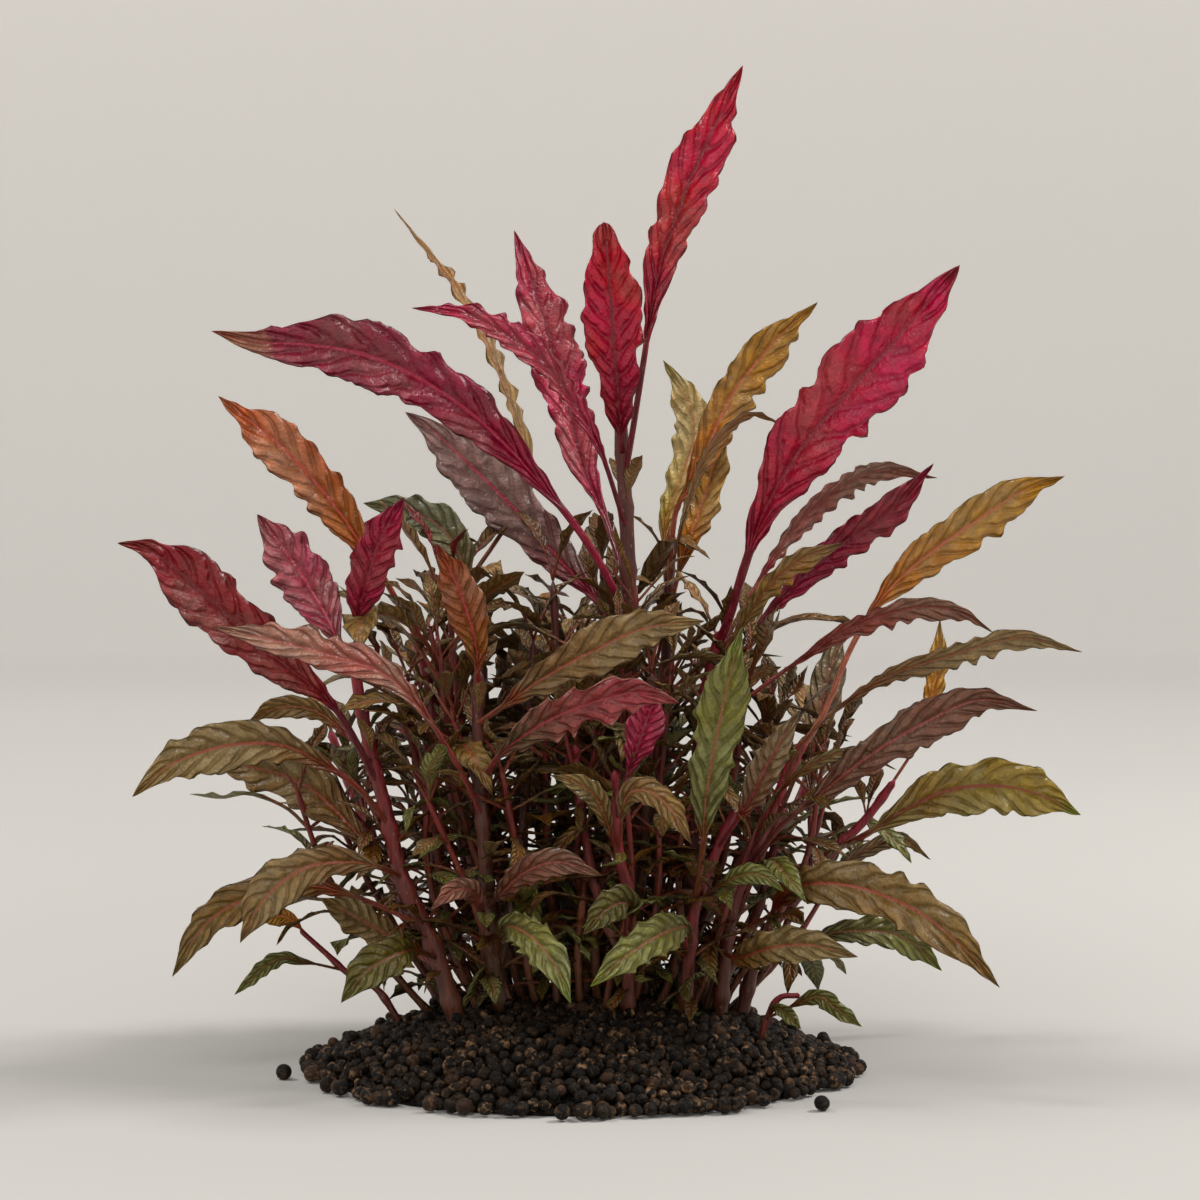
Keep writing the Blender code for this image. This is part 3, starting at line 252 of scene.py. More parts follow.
# %% The large leaves
LARGE_LEAVES = {
    "leaf_spire": Leaf("stem_centre", 118, [(10.4, 127, -2), (12.6, 141, -3), (15, 156, -3),
         (17.6, 166, -3), (21.6, 177, -3), (27, 189, -3), (32.6, 201, -3)],
         11.6, "bright crimson", turn=-12, twist=24, stalk=0.26, widest=(1.5, 0.9), back=12),
    "leaf_oval": Leaf("stem_centre", 122, [(8, 130, -1), (7.4, 138, -4), (6.6, 148, -6), (5.8, 159, -7),
         (4.8, 169.6, -7)], 12.8, "bright crimson", turn=4, stalk=0.1, widest=(0.8, 0.5), back=-8),
    "leaf_crown_left": Leaf("stem_centre", 108, [(4, 124, -8), (-2, 134, -10), (-8, 142, -11),
         (-15, 147, -12), (-23, 151, -13), (-33.8, 152.4, -13)],
         8.4, "magenta", turn=48, twist=-8, stalk=0.18, back=-16),
    "leaf_crown_behind": Leaf("stem_centre", 96, [(4.5, 112, 6), (0.5, 121, 8), (-2, 131, 9),
         (-5, 141, 10), (-7.4, 150, 10), (-10.6, 160, 11), (-13.2, 168, 12)],
         12.5, "pink crimson", turn=10, twist=15, stalk=0.15, back=14),
    "leaf_sweep": Leaf("stem_centre", 90, [(3, 103, -4), (-5, 114, -5), (-18, 128, -4), (-30, 137, -3),
         (-42, 142.6, -3), (-54, 145, -3), (-65, 145.6, -3), (-73.8, 147.8, -3)],
         14.5, "deep magenta", turn=6, twist=10, stalk=0.22, back=-12),
    "leaf_tall_copper": Leaf("stem_back_left", 84, [(-14, 110, 14), (-10, 120, 17), (-14, 133, 18),
         (-19, 146, 18), (-25, 156, 18), (-31, 164, 18), (-37.4, 172.4, 18)],
         8, "olive copper", turn=62, twist=10, stalk=0.25, back=18),
    "leaf_grey": Leaf("stem_centre", 82, [(4, 93, 4), (-4, 102, 7), (-12, 111, 8), (-20, 119, 9),
         (-28, 126.6, 9), (-35, 131.6, 9)], 14, "grey mauve", turn=5, stalk=0.15, back=14),
    "leaf_great_right": Leaf("stem_right", 84, [(30, 91, 2), (33, 101, 0), (37, 112, -1), (44, 124, -2),
         (53, 135, -2), (64, 147, -2), (76, 161, -2)],
         18, "great crimson", twist=8, widest=(1.2, 0.85), back=-10),
    "leaf_ochre_right": Leaf("stem_back_right", 96, [(19, 111, 14), (22, 117, 11), (26, 126, 9),
         (31, 136, 8), (39, 146, 8), (47.6, 153.6, 8)],
         11, "ochre", turn=18, twist=10, stalk=0.22, back=14),
    "leaf_pale_back": Leaf("stem_back_right", 92, [(17, 108, 26), (20.5, 119, 28), (23, 128, 29),
         (21, 135, 29), (16.6, 142, 30)], 9, "pale", turn=-10, back=8),
    "leaf_ochre_low": Leaf("stem_back_right", 90, [(21, 104, 17), (24, 112, 17), (26.5, 120, 17),
         (29, 128, 17)], 8.5, "ochre", turn=5, back=6),
    "leaf_right_upper": Leaf("stem_right", 80, [(33, 93, 10), (41, 106, 13), (50, 115, 14),
         (60, 120, 14), (71.6, 118.4, 14)], 7.4, "dusty rose", turn=42, stalk=0.25, back=20),
    "leaf_rose_right": Leaf("stem_right", 74, [(33, 86, 8), (42, 96, 8), (52, 105, 8), (62, 112, 8),
         (70.8, 121.4, 8)], 9, "magenta", turn=22, stalk=0.25, back=8),
    "leaf_rust_right": Leaf("stem_right", 78, [(31, 87, -2), (37, 96, -6), (44, 102, -8),
         (53, 105.6, -9)], 7, "olive copper", turn=38, stalk=0.25, back=-10),
    "leaf_long_ochre": Leaf("stem_right_lean", 62, [(49, 72, -9), (54, 84, -6), (60, 94, -4),
         (68, 102, -4), (78, 109, -4), (88, 115.6, -4), (97, 118.8, -4)],
         11, "ochre", turn=14, twist=10, stalk=0.36, back=12),
    "leaf_rose_arch": Leaf("stem_right", 66, [(33, 74, -4), (44, 82, -8), (54, 88.4, -9),
         (66, 92.4, -9), (76, 91.6, -9), (82.8, 87.4, -9)],
         7, "dusty rose", turn=42, stalk=0.35, back=-14),
    "leaf_long_wavy": Leaf("stem_right_lean", 58, [(45, 66, -15), (53, 73.4, -17), (62, 79, -18),
         (74, 83, -19), (88, 86.4, -19), (100.6, 83.6, -19)],
         7, "tan olive", turn=42, stalk=0.22, widest=(1.5, 0.9), back=-14),
    "leaf_small_ochre": Leaf("stem_right_outer", 56, [(68.4, 67, 3), (70.4, 75, 4), (71.6, 83, 4),
         (72, 90.4, 4)], 5, "ochre", turn=15, stalk=0.15, back=8),
    "leaf_purple_right": Leaf("stem_right_lean", 42, [(40.5, 49, -13), (49, 56, -14), (58, 63, -15),
         (69, 69.6, -14), (80, 74, -13), (91.6, 71.8, -13)],
         9.6, "purple brown", turn=10, twist=4, widest=(1.3, 1.0), back=-20),
    "leaf_olive_right": Leaf("stem_right_outer", 44, [(57, 47, -4), (65, 52, -7), (74, 56, -8),
         (84, 56.8, -9), (93, 54.6, -9), (100.2, 51, -9)], 12.5, "green tip", stalk=0.15, back=6),
    "leaf_droop_right": Leaf("stem_right_outer", 26, [(40, 34, -8), (46, 37.2, -16), (56, 36.4, -20),
         (67, 32, -21), (76, 25, -21), (84, 16.4, -21)], 11.5, "olive", turn=-6, stalk=0.12, back=-16),
    "leaf_dark_right": Leaf("stem_right_lean", 24, [(32, 22.5, -18), (38, 24.4, -25), (46, 25, -28),
         (55.6, 22.6, -29)], 8.5, "olive", stalk=0.15, back=-10),
    "leaf_green_back": Leaf("stem_back_far_right", 26, [(45, 26, 28), (52, 27.6, 28), (61, 27.6, 28),
         (67, 25, 28), (72.4, 19.8, 28)], 8, "fresh green", turn=-5, back=18),
    "leaf_olive_upright": Leaf("stem_right_outer", 38, [(46, 56, 9), (47.5, 68, 10), (50, 80, 10),
         (53, 88, 10)], 8, "frilled brown", turn=6, stalk=0.3, back=16),
    "leaf_green_front": Leaf("stem_front_right", 34, [(24.4, 43, -24), (25.2, 54, -29), (27.2, 66, -31),
         (29.8, 78, -32), (32.4, 88.6, -33)], 10.8, "fresh green", stalk=0.25, back=-8),
    "leaf_arch_front": Leaf("stem_mid_left", 70, [(-15, 73, -24), (-8, 78, -27), (2, 83.6, -28),
         (13, 88.4, -28), (25, 89.8, -28)], 10.5, "tan olive", turn=6, stalk=0.15, back=-8, ruffle=1.6),
    "leaf_pink_front": Leaf("stem_mid_left", 58, [(-16, 63, -26), (-8, 69, -33), (2, 73.4, -36),
         (12, 75.6, -37), (20, 73.4, -38)], 10, "pink tip", turn=10, twist=20, back=-10, ruffle=2.2),
    "leaf_magenta_inner": Leaf("stem_front", 52, [(9, 57, -29), (12, 66, -30), (15.5, 76, -30)],
         8, "magenta", stalk=0.35, back=4),
    "leaf_brown_small": Leaf("stem_mid_left", 34, [(-16, 35, -26), (-11, 39.6, -32), (-4, 41.6, -34),
         (4.8, 38.8, -35)], 6.5, "purple brown", turn=8, back=-6),
    "leaf_green_down_left": Leaf("stem_mid_left", 24, [(-15, 28.6, -24), (-10, 26.8, -36),
         (-5, 21, -43), (-1.8, 13.2, -47)], 8.5, "fresh green", stalk=0.15),
    "leaf_green_down_right": Leaf("stem_front_right", 27, [(21.4, 28.6, -24), (16, 27, -37),
         (9, 22.6, -43), (2, 16.6, -47)], 9, "fresh green", stalk=0.12),
    "leaf_green_inner": Leaf("stem_front", 30, [(10, 33, -27), (6, 32.6, -32), (0.6, 27, -36)],
         7.5, "dark green", stalk=0.15, back=-6),
    "leaf_shaggy": Leaf("stem_front_right", 46, [(34, 54, -25), (38, 62, -27), (44, 72, -27)],
         7.4, "frilled brown", turn=-12, back=-10),
    "leaf_red_left": Leaf("stem_left", 58, [(-48, 71, -14), (-54, 77, -15), (-64, 85, -16),
         (-73, 93, -16), (-82, 101, -16), (-87, 104.4, -16), (-92.6, 105.4, -16)],
         13.5, "dark red", twist=12, back=-16),
    "leaf_mauve_left": Leaf("stem_left", 78, [(-48.5, 86, -8), (-52, 93, -5), (-57.4, 101.6, -4),
         (-64.6, 111.2, -4)], 12.5, "rose", stalk=0.15, back=16),
    "leaf_crimson_left": Leaf("stem_left", 82, [(-44.4, 90, -15), (-43, 97, -17), (-40, 106, -18),
         (-35.2, 114.6, -18)], 10, "magenta", turn=4, back=-10),
    "leaf_copper_left": Leaf("stem_back_left", 86, [(-39, 98, 8), (-43.6, 105, 6), (-50, 114, 5),
         (-58, 123, 5), (-65, 129, 5), (-72.4, 134.8, 5)], 11.5, "copper", stalk=0.16, back=18),
    "leaf_olive_behind": Leaf("stem_back_left", 78, [(-24, 95, 7), (-24.5, 104, 4), (-31, 110.6, 3),
         (-43.4, 113.4, 2)], 9, "grey green", turn=8, stalk=0.3, back=10),
    "leaf_bronze_left": Leaf("stem_mid_left", 76, [(-20.6, 83, -18), (-21.8, 89, -18), (-24.6, 97, -18),
         (-28.8, 105.4, -18)], 9, "bronze pink", stalk=0.1, back=-8),
    "leaf_rose_left": Leaf("stem_mid_left", 52, [(-24, 60, -22), (-31, 71, -28), (-39, 79, -30),
         (-50, 83, -31), (-62, 86, -31), (-73.6, 88.6, -31)],
         9, "dusty rose", turn=30, stalk=0.32, back=-14),
    "leaf_arch_left": Leaf("stem_left", 50, [(-44, 56, -15), (-51, 61, -17), (-60, 65, -18),
         (-71, 64.8, -18), (-82, 61, -18), (-89.6, 54.6, -18)], 10.5, "olive", stalk=0.25, back=-22),
    "leaf_broad_left": Leaf("stem_left", 36, [(-41, 43, -9), (-47, 50, -8), (-55, 57, -8),
         (-65, 60.4, -8), (-74.4, 61.6, -8)], 11.5, "olive", turn=-8, back=18),
}
print(len(LARGE_LEAVES), "large leaves")

# %% The small leaves at the outline, each grown from its stem
SMALL_LEAVES = {
    "curled": Leaf("stem_back_right", 94, [(20, 108, 8), (24, 121, 3), (29.5, 128.6, 3), (35, 131.4, 3),
         (42, 128, 3)], 5, "olive copper", turn=60),
    "droop": Leaf("stem_left", 30, [(-43, 34, -12), (-55, 37, -14), (-66, 34.6, -15), (-75, 29, -15),
         (-81.6, 18.6, -15)], 8.5, "olive"),
    "tan": Leaf("stem_left", 40, [(-40, 40.5, -22), (-46, 41.6, -26), (-55, 40.4, -28),
         (-63, 34.4, -28), (-68, 25.4, -28)], 10, "tan olive"),
    "dark_low": Leaf("stem_left", 24, [(-33, 24, -24), (-37, 23, -33), (-43, 19.5, -37),
         (-47.8, 13.4, -39)], 9, "dark green"),
    "low_leaf": Leaf("stem_left", 22, [(-34, 24, -8), (-42, 29, -6), (-52, 34.4, -6)], 8.5, "olive"),
    "narrow": Leaf("stem_right_outer", 34, [(52, 41, 8), (58, 44.4, 10), (64, 46.4, 11), (70.2, 42, 11)],
         4, "tan olive", turn=25),
    "thin_arch": Leaf("stem_right_lean", 50, [(41, 57, -18), (49, 62.5, -23), (56, 63.6, -24),
         (63.4, 60, -25)], 4, "olive", turn=45),
    "left_small": Leaf("stem_left", 62, [(-50, 70, -5), (-56, 72.6, -4), (-62, 72, -3), (-67, 69, -3)],
         5, "olive"),
    "front_small": Leaf("stem_front", 42, [(4, 53, -29), (0, 57, -33), (-6, 59, -34)], 5, "olive"),
    "front_pale": Leaf("stem_front", 46, [(9, 54, -33), (13, 56, -36), (18, 52.4, -38), (22.4, 45, -39)],
         6, "tan olive"),
    "left_pale": Leaf("stem_mid_left", 28, [(-21, 35, -22), (-25, 36, -27), (-30, 32, -30)],
         5, "dusty rose"),
    "right_pale": Leaf("stem_front_right", 36, [(31, 38.5, -25), (36, 39, -29), (41, 35.6, -31)],
         4.5, "fresh green"),
    "low_green": Leaf("stem_low_right", 12.5, [(47, 14.6, -17), (51, 12.4, -18), (56.4, 8.6, -19)],
         4.5, "fresh green"),
    "low_green_small": Leaf("stem_low_right", 12, [(39, 12.4, -18), (41.6, 11, -20), (44.2, 8.2, -21)],
         3.4, "fresh green"),
    "runner_tip": Leaf("stem_low_left", 26, [(-57, 29.4, 0), (-60, 30.8, 0), (-64.4, 30, -1)],
         4.5, "ochre"),
    "runner_low": Leaf("stem_low_left", 20, [(-55, 21.6, -3), (-61, 22, -4), (-69.2, 15, -5)],
         3.8, "fresh green"),
}
print(len(SMALL_LEAVES), "small leaves placed by hand")

# %% [markdown]
# ## Skins and pieces
#
# Stems, leaves and pellets could each start from a Blender primitive, but a plant has hundreds of
# them, all different. So a shape here is a grid of points: one parameter runs along it and the other
# goes round it. `closed_skin` turns such a grid into faces with a closed base and tip, and
# `make_piece` puts any number of skins into one mesh with `foreach_set`, in one go.

# %% Skins
@dataclass
class Skin:
    """A closed surface in mm: points, face corners, corners per face, a UV per corner, material."""
    points: np.ndarray
    corners: np.ndarray
    sizes: np.ndarray
    uv: np.ndarray
    slot: int = 0


def closed_skin(rings, tip, u_from, u_to, v, slot=0, flat=False):
    """A closed skin over rings of points (count, around, 3) with a flat base and one tip point.

    Face (i, j) joins points j and j + 1 of the rings i and i + 1. It spans u_from[j] to u_to[j] and
    v[i] to v[i + 1]. On a flat blade the faces of the lower half start one corner later, so both
    halves split into triangles alike and a thin blade's two sides never cross."""
    count, around = rings.shape[:2]
    i, j = np.meshgrid(np.arange(count - 1), np.arange(around), indexing="ij")
    k = (j + 1) % around
    quads = np.stack([i * around + j, i * around + k, (i + 1) * around + k, (i + 1) * around + j], -1)
    quad_uv = np.stack([np.stack([u_from[j], u_to[j], u_to[j], u_from[j]], -1),
                        np.stack([v[i], v[i], v[i + 1], v[i + 1]], -1)], -1)
    if flat:
        quads[:, around // 2:] = np.roll(quads[:, around // 2:], -1, axis=2)
        quad_uv[:, around // 2:] = np.roll(quad_uv[:, around // 2:], -1, axis=2)
    j = np.arange(around)
    last = (count - 1) * around
    fan = np.stack([last + j, last + (j + 1) % around, np.full(around, count * around)], -1)
    fan_uv = np.stack([np.stack([u_from, u_to, (u_from + u_to) / 2], -1),
                       np.broadcast_to([v[-1], v[-1], 1.0], (around, 3))], -1)
    base_uv = np.stack([u_from[::-1], np.full(around, v[0])], -1)
    return Skin(points=np.vstack([rings.reshape(-1, 3), tip]),
                corners=np.concatenate([quads.ravel(), fan.ravel(), j[::-1]]),
                sizes=np.concatenate([np.full(quads.size // 4, 4), np.full(around, 3), [around]]),
                uv=np.vstack([quad_uv.reshape(-1, 2), fan_uv.reshape(-1, 2), base_uv]), slot=slot)


# %% Pieces
TRIANGLES = {}


def make_piece(name, skins, materials, slot, replaces=None):
    """One smooth mesh of many skins that rides on the plant, and may replace a CAD node."""
    starts = np.cumsum([0] + [len(skin.points) for skin in skins[:-1]])
    corners = np.concatenate([skin.corners + start for skin, start in zip(skins, starts)])
    sizes = np.concatenate([skin.sizes for skin in skins])
    mesh = bpy.data.meshes.new(name)
    mesh.vertices.add(sum(len(skin.points) for skin in skins))
    mesh.vertices.foreach_set("co", np.concatenate([skin.points for skin in skins]).ravel() * MM)
    mesh.loops.add(len(corners))
    mesh.loops.foreach_set("vertex_index", corners)
    mesh.polygons.add(len(sizes))
    mesh.polygons.foreach_set("loop_start", np.concatenate([[0], np.cumsum(sizes)[:-1]]))
    mesh.polygons.foreach_set("use_smooth", np.ones(len(sizes), bool))
    slots = np.concatenate([np.full(len(skin.sizes), skin.slot) for skin in skins])
    mesh.polygons.foreach_set("material_index", slots)
    for material in materials:
        mesh.materials.append(material)
    uv = np.concatenate([skin.uv for skin in skins])
    mesh.uv_layers.new(name="surface").data.foreach_set("uv", uv.ravel())
    mesh.update(calc_edges=True)
    if mesh.validate():
        print(name, "had faults that were mended")
    piece = bpy.data.objects.new(name, mesh)
    scene.collection.objects.link(piece)
    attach(piece, "root")
    if replaces:
        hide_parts(replaces)
    TRIANGLES[name] = int((sizes - 2).sum())


# %% [markdown]
# ## One leaf
#
# A real leaf is a flat blade about a quarter of a millimetre thick on a round stalk. It folds up a
# little from its midrib, puffs up between its side veins, and its margins have grown longer than its
# middle, so they ruffle. A plane with a Displace modifier could show the ruffles but not the way the
# stalk becomes the midrib. Here the whole leaf is one formula of t, 0 along the stalk and 1 at the
# tip, and u, from the left margin at -1 to the right one at 1. The margin, the fold, the ruffles,
# the puffed parts and the veins are each a term of it. All lengths are in millimetres.

# %% The leaf's formula
VEIN_PAIRS = 10
VEIN_SWEEP = 1.7
VEIN_CURVE = 1.4
VEIN_OFFSET = 0.35
FOLD = math.radians(16)
STALK_RADIUS = (0.1, 0.046)
STALK_TO_BLADE = (0.7, 2.4)
BLADE_HALF_THICKNESS = 0.13
GROOVE_DEPTH = 0.3
RIB_DEPTH = 0.8
WAVE_PER_WIDTH = 0.55
WAVE_LIMITS = (3.6, 7.6)
RIGHT_WAVE = 1.09
DRIFT = 1.2
LEFT_DRIFT_LENGTH = 17
RIGHT_DRIFT_LENGTH = 15
STRENGTH_LENGTH = 23
BOW = 0.03
BOW_LENGTH = 31
RUFFLE = 0.26
QUILTING = 0.03
SCALLOP = 0.26
TEETH = 0.07
TOOTH = 3.4
TIP_PINCH = 0.42
PINCHED_FROM = (0.76, 0.95)
CROWDING = 1.15
BACK_TO_STEM = 0.4


def leaf_skin(points, width, stalk, widest, facing, twist, rings, across, slot, seed, ruffle=RUFFLE):
    """A leaf as a closed skin round its midrib.

    Half width: width/2 * t^a (1 - t)^b over its own peak, pinched before the tip, and never less
    than the stalk's radius. The margin is cut back between smooth lobes by scallop *
    (1 - sin(phase)) / 2, with slower waves and small teeth of 1 - sqrt|sin|. The phase grows by a
    turn with each wave's length, and drifts, so no two waves are alike. Height over the midrib:
    fold |x| + ruffle |u|^2.4 sin(phase) + quilting between the side veins + a slow bow, less a
    groove on the upper side and plus a rib on the lower one. Half thickness: a circle's,
    sqrt(1 - u^2), from the stalk's radius down to the blade's. A wider leaf has a thicker stalk and
    longer waves, within limits."""
    random = np.random.default_rng(seed)
    line = smooth_line(points, rings + 1)
    share = np.linspace(0, 1, rings + 1)
    length = np.linalg.norm(np.diff(line, axis=0), axis=1).sum()
    t = np.clip((share - stalk) / (1 - stalk), 0, 1)[:, None]
    a, b = widest
    peak = a / (a + b)
    half = 0.5 * width * t**a * (1 - t) ** b / (peak**a * (1 - peak) ** b)
    half = half * (1 - TIP_PINCH * min(1, b) * ease(t, *PINCHED_FROM))
    radius = (STALK_RADIUS[0] + STALK_RADIUS[1] * width) * (1 - t) ** 0.7
    blade = ease(half, STALK_TO_BLADE[0] * radius, STALK_TO_BLADE[1] * radius)
    reach = np.maximum(half, radius)

    s = np.linspace(-1, 1, across)
    u = np.sign(s) * abs(s) ** CROWDING
    edge = abs(u)
    at = share[:, None] * length
    wave = np.clip(WAVE_PER_WIDTH * width, *WAVE_LIMITS) * random.uniform(0.85, 1.3)
    sway = random.uniform(0, math.tau, 7)
    left = math.tau * at / wave + sway[0] + DRIFT * np.sin(math.tau * at / LEFT_DRIFT_LENGTH + sway[1])
    right = (math.tau * at / (RIGHT_WAVE * wave) + sway[2]
             + DRIFT * np.sin(math.tau * at / RIGHT_DRIFT_LENGTH + sway[3]))
    phase = np.where(u < 0, left, right)
    strength = 0.66 + 0.34 * np.sin(math.tau * at / STRENGTH_LENGTH + sway[4])
    lobe = 0.5 * (np.sin(phase + 0.6) - 1) + 0.25 * (np.sin(phase / 2.6 + sway[6]) - 1)
    tooth = np.sqrt(abs(np.sin(math.pi * at / TOOTH + 1.6 * np.sin(at / 4) + sway[5] * (u < 0)))) - 1
    x = u * reach * (1 + blade * edge**4 * (SCALLOP * strength * lobe + TEETH * tooth))
    q = VEIN_PAIRS * t - VEIN_SWEEP * edge**VEIN_CURVE + VEIN_OFFSET * (u < 0)
    puff = (0.5 - 0.5 * np.cos(math.tau * q)) ** 0.45 * edge**0.6 * (1 - edge**2.5)
    height = (math.tan(FOLD) * abs(x) * (1 - 0.3 * edge)
              + ruffle * half * strength * edge**2.4 * np.sin(phase)
              + QUILTING * width * puff + BOW * half * np.sin(math.tau * at / BOW_LENGTH + sway[5])) * blade
    thick = (radius + (BLADE_HALF_THICKNESS * (1 - t) ** 0.4 - radius) * blade) * np.sqrt(1 - u**2)
    groove = GROOVE_DEPTH * radius * np.exp(-((x / (0.7 * radius + TINY)) ** 2)) * blade
    rib = RIB_DEPTH * radius * (1 - t) ** 0.3 * np.exp(-((x / (0.8 * radius + TINY)) ** 2)) * blade
    upper = height + thick - groove
    lower = (height - thick - rib)[:, -2:0:-1]

    ahead = unit(np.gradient(line, axis=0))
    normal = squared(facing(line, ahead), ahead)
    side = np.cross(ahead, normal)
    turn = np.radians(twist * t)
    normal, side = np.cos(turn) * normal + np.sin(turn) * side, np.cos(turn) * side - np.sin(turn) * normal
    out = np.concatenate([x, x[:, -2:0:-1]], axis=1)[..., None]
    up = np.concatenate([upper, lower], axis=1)[..., None]
    skin = (line[:, None] + side[:, None] * out + normal[:, None] * up)[:-1]
    u_ring = (np.concatenate([u, u[-2:0:-1]]) + 1) / 2
    under = np.arange(len(u_ring)) >= across - 1
    u_from = u_ring + 2 * under
    u_to = np.roll(u_ring, -1) + 2 * under
    return closed_skin(skin, line[-1], u_from, u_to, ((share - stalk) / (1 - stalk))[:-1], slot, flat=True)


def faces_viewer(turn):
    """A facing for the listed leaves: towards the eye, then turned about the midrib."""
    def facing(line, ahead):
        front = squared(EYE - line, ahead)
        return math.cos(turn) * front + math.sin(turn) * np.cross(ahead, front)
    return facing


def faces_up(line, ahead):
    """A facing for small leaves: up, and a little back towards the stem."""
    return np.broadcast_to([0, 0, 1] + BACK_TO_STEM * unit(line[0] - line[-1]), line.shape)


# %% Where stems run and leaves join
PLANTED_HEIGHT = 4.0
AXIS_POINTS = 200


def stem_line(stem, count):
    """count points of a stem's axis from its planted foot to its tip."""
    return smooth_line([(*stem.foot, PLANTED_HEIGHT), *(seen(*place) for place in stem.line)], count)


def stem_point(stem, height):
    """The point of the stem's axis nearest that height above the table."""
    line = stem_line(stem, AXIS_POINTS)
    return line[np.argmin(abs(line[:, 2] - height))]


def leaf_points(leaf):
    """Points of a leaf's midrib from the stem's axis, its depth carried back towards the tip."""
    joint = stem_point(STEMS[leaf.stem], leaf.joins)
    share = np.arange(1, len(leaf.line) + 1) / len(leaf.line)
    bends = [seen(a, up, depth + leaf.back * s) for (a, up, depth), s in zip(leaf.line, share)]
    return np.array([joint, *bends])


spire = leaf_points(LARGE_LEAVES["leaf_spire"])
print("the spire leaf's tip, mm:", np.round(spire[-1], 1))

# %% [markdown]
# ## Building materials from nodes
#
# A leaf's colour isn't painted anywhere: it is worked out from where a point is on the blade. The
# helpers below add one node each, so that a material reads like a sum. Colours are written as they
# look on a screen, 0 to 255, and turned into linear light once.

# %% Shader helpers
def screen_colour(red, green, blue):
    """The linear colour of a screen one: ((c + 0.055) / 1.055)^2.4, or c / 12.92 near black."""
    value = np.array([red, green, blue]) / 255
    light = np.where(value <= 0.04045, value / 12.92, ((value + 0.055) / 1.055) ** 2.4)
    return (*light.tolist(), 1.0)


def feed(tree, socket, value):
    """Links a socket to another node's output, or sets it to a number or a colour."""
    if isinstance(value, bpy.types.NodeSocket):
        tree.links.new(value, socket)
    elif value is not None:
        socket.default_value = value


def add(tree, kind, inputs=(), **settings):
    """A new node with these settings, each named or numbered input fed with its value."""
    node = tree.nodes.new("ShaderNode" + kind)
    for name, value in settings.items():
        setattr(node, name, value)
    for name, value in dict(inputs).items():
        feed(tree, node.inputs[name], value)
    return node


def calc(tree, operation, a, b=None, c=None):
    """One step of arithmetic."""
    return add(tree, "Math", {0: a, 1: b, 2: c}, operation=operation).outputs[0]


def less(tree, value):
    """1 less the value, which turns a mask round."""
    return calc(tree, "SUBTRACT", 1.0, value)


def eased(tree, value, low, high):
    """0 at low to 1 at high, with soft ends."""
    return add(tree, "MapRange", {0: value, 1: low, 2: high}, interpolation_type="SMOOTHSTEP").outputs[0]


def blended(tree, share, one, other):
    """The first colour, and the second one in its place by that share."""
    return add(tree, "Mix", {0: share, 6: one, 7: other}, data_type="RGBA").outputs[2]


def noise(tree, place, scale, detail=2.0, roughness=0.5):
    """Cloudy noise with scale clouds to the metre."""
    sizes = {"Vector": place, "Scale": scale, "Detail": detail, "Roughness": roughness}
    return add(tree, "TexNoise", sizes).outputs[0]


def ramp(tree, value, *stops):
    """A colour for each value, from stops of (position, colour)."""
    node = add(tree, "ValToRGB", {0: value})
    while len(node.color_ramp.elements) < len(stops):
        node.color_ramp.elements.new(1.0)
    for element, (position, colour) in zip(node.color_ramp.elements, stops):
        element.position = position
        element.color = colour
    return node.outputs[0]


def new_group(name, inputs, outputs):
    """A node group with named sockets of the kinds given, its inputs as outputs, and its outputs."""
    group = bpy.data.node_groups.new(name, "ShaderNodeTree")
    for label, kind in inputs.items():
        group.interface.new_socket(label, in_out="INPUT", socket_type="NodeSocket" + kind)
    for label, kind in outputs.items():
        group.interface.new_socket(label, in_out="OUTPUT", socket_type="NodeSocket" + kind)
    return group, group.nodes.new("NodeGroupInput").outputs, group.nodes.new("NodeGroupOutput").inputs


def new_material(name):
    """A material with an empty tree, its Object coordinates, its UV and its Principled shader."""
    material = bpy.data.materials.new(name)
    material.use_nodes = True
    tree = material.node_tree
    tree.nodes.clear()
    shader = add(tree, "BsdfPrincipled")
    tree.links.new(shader.outputs[0], add(tree, "OutputMaterial").inputs[0])
    place = add(tree, "TexCoord").outputs["Object"]
    return material, tree, place, add(tree, "UVMap", uv_map="surface").outputs[0], shader


def finish_shader(tree, shader, colour, roughness, relief, strength, distance):
    """Feeds the shader its colour and roughness, and its normal from a bump of that height."""
    bump = add(tree, "Bump", {"Strength": strength, "Distance": distance, "Height": relief})
    for name, value in {"Base Color": colour, "Roughness": roughness, "Normal": bump.outputs[0]}.items():
        feed(tree, shader.inputs[name], value)


# %% [markdown]
# ## What every leaf shares: veins and mottling
#
# All the finishes need the same masks: the midrib, the side veins that sweep towards the tip, the
# net between them, the margin and the underside. A texture painted for each leaf would need an image.
# One node group works them out from the UV that the mesh code gave each leaf, with the same vein
# formula as its quilting, so colour and relief agree. A second group gives mottling. Scales are in
# clouds or cells to the metre, because a scene's own unit is the metre.

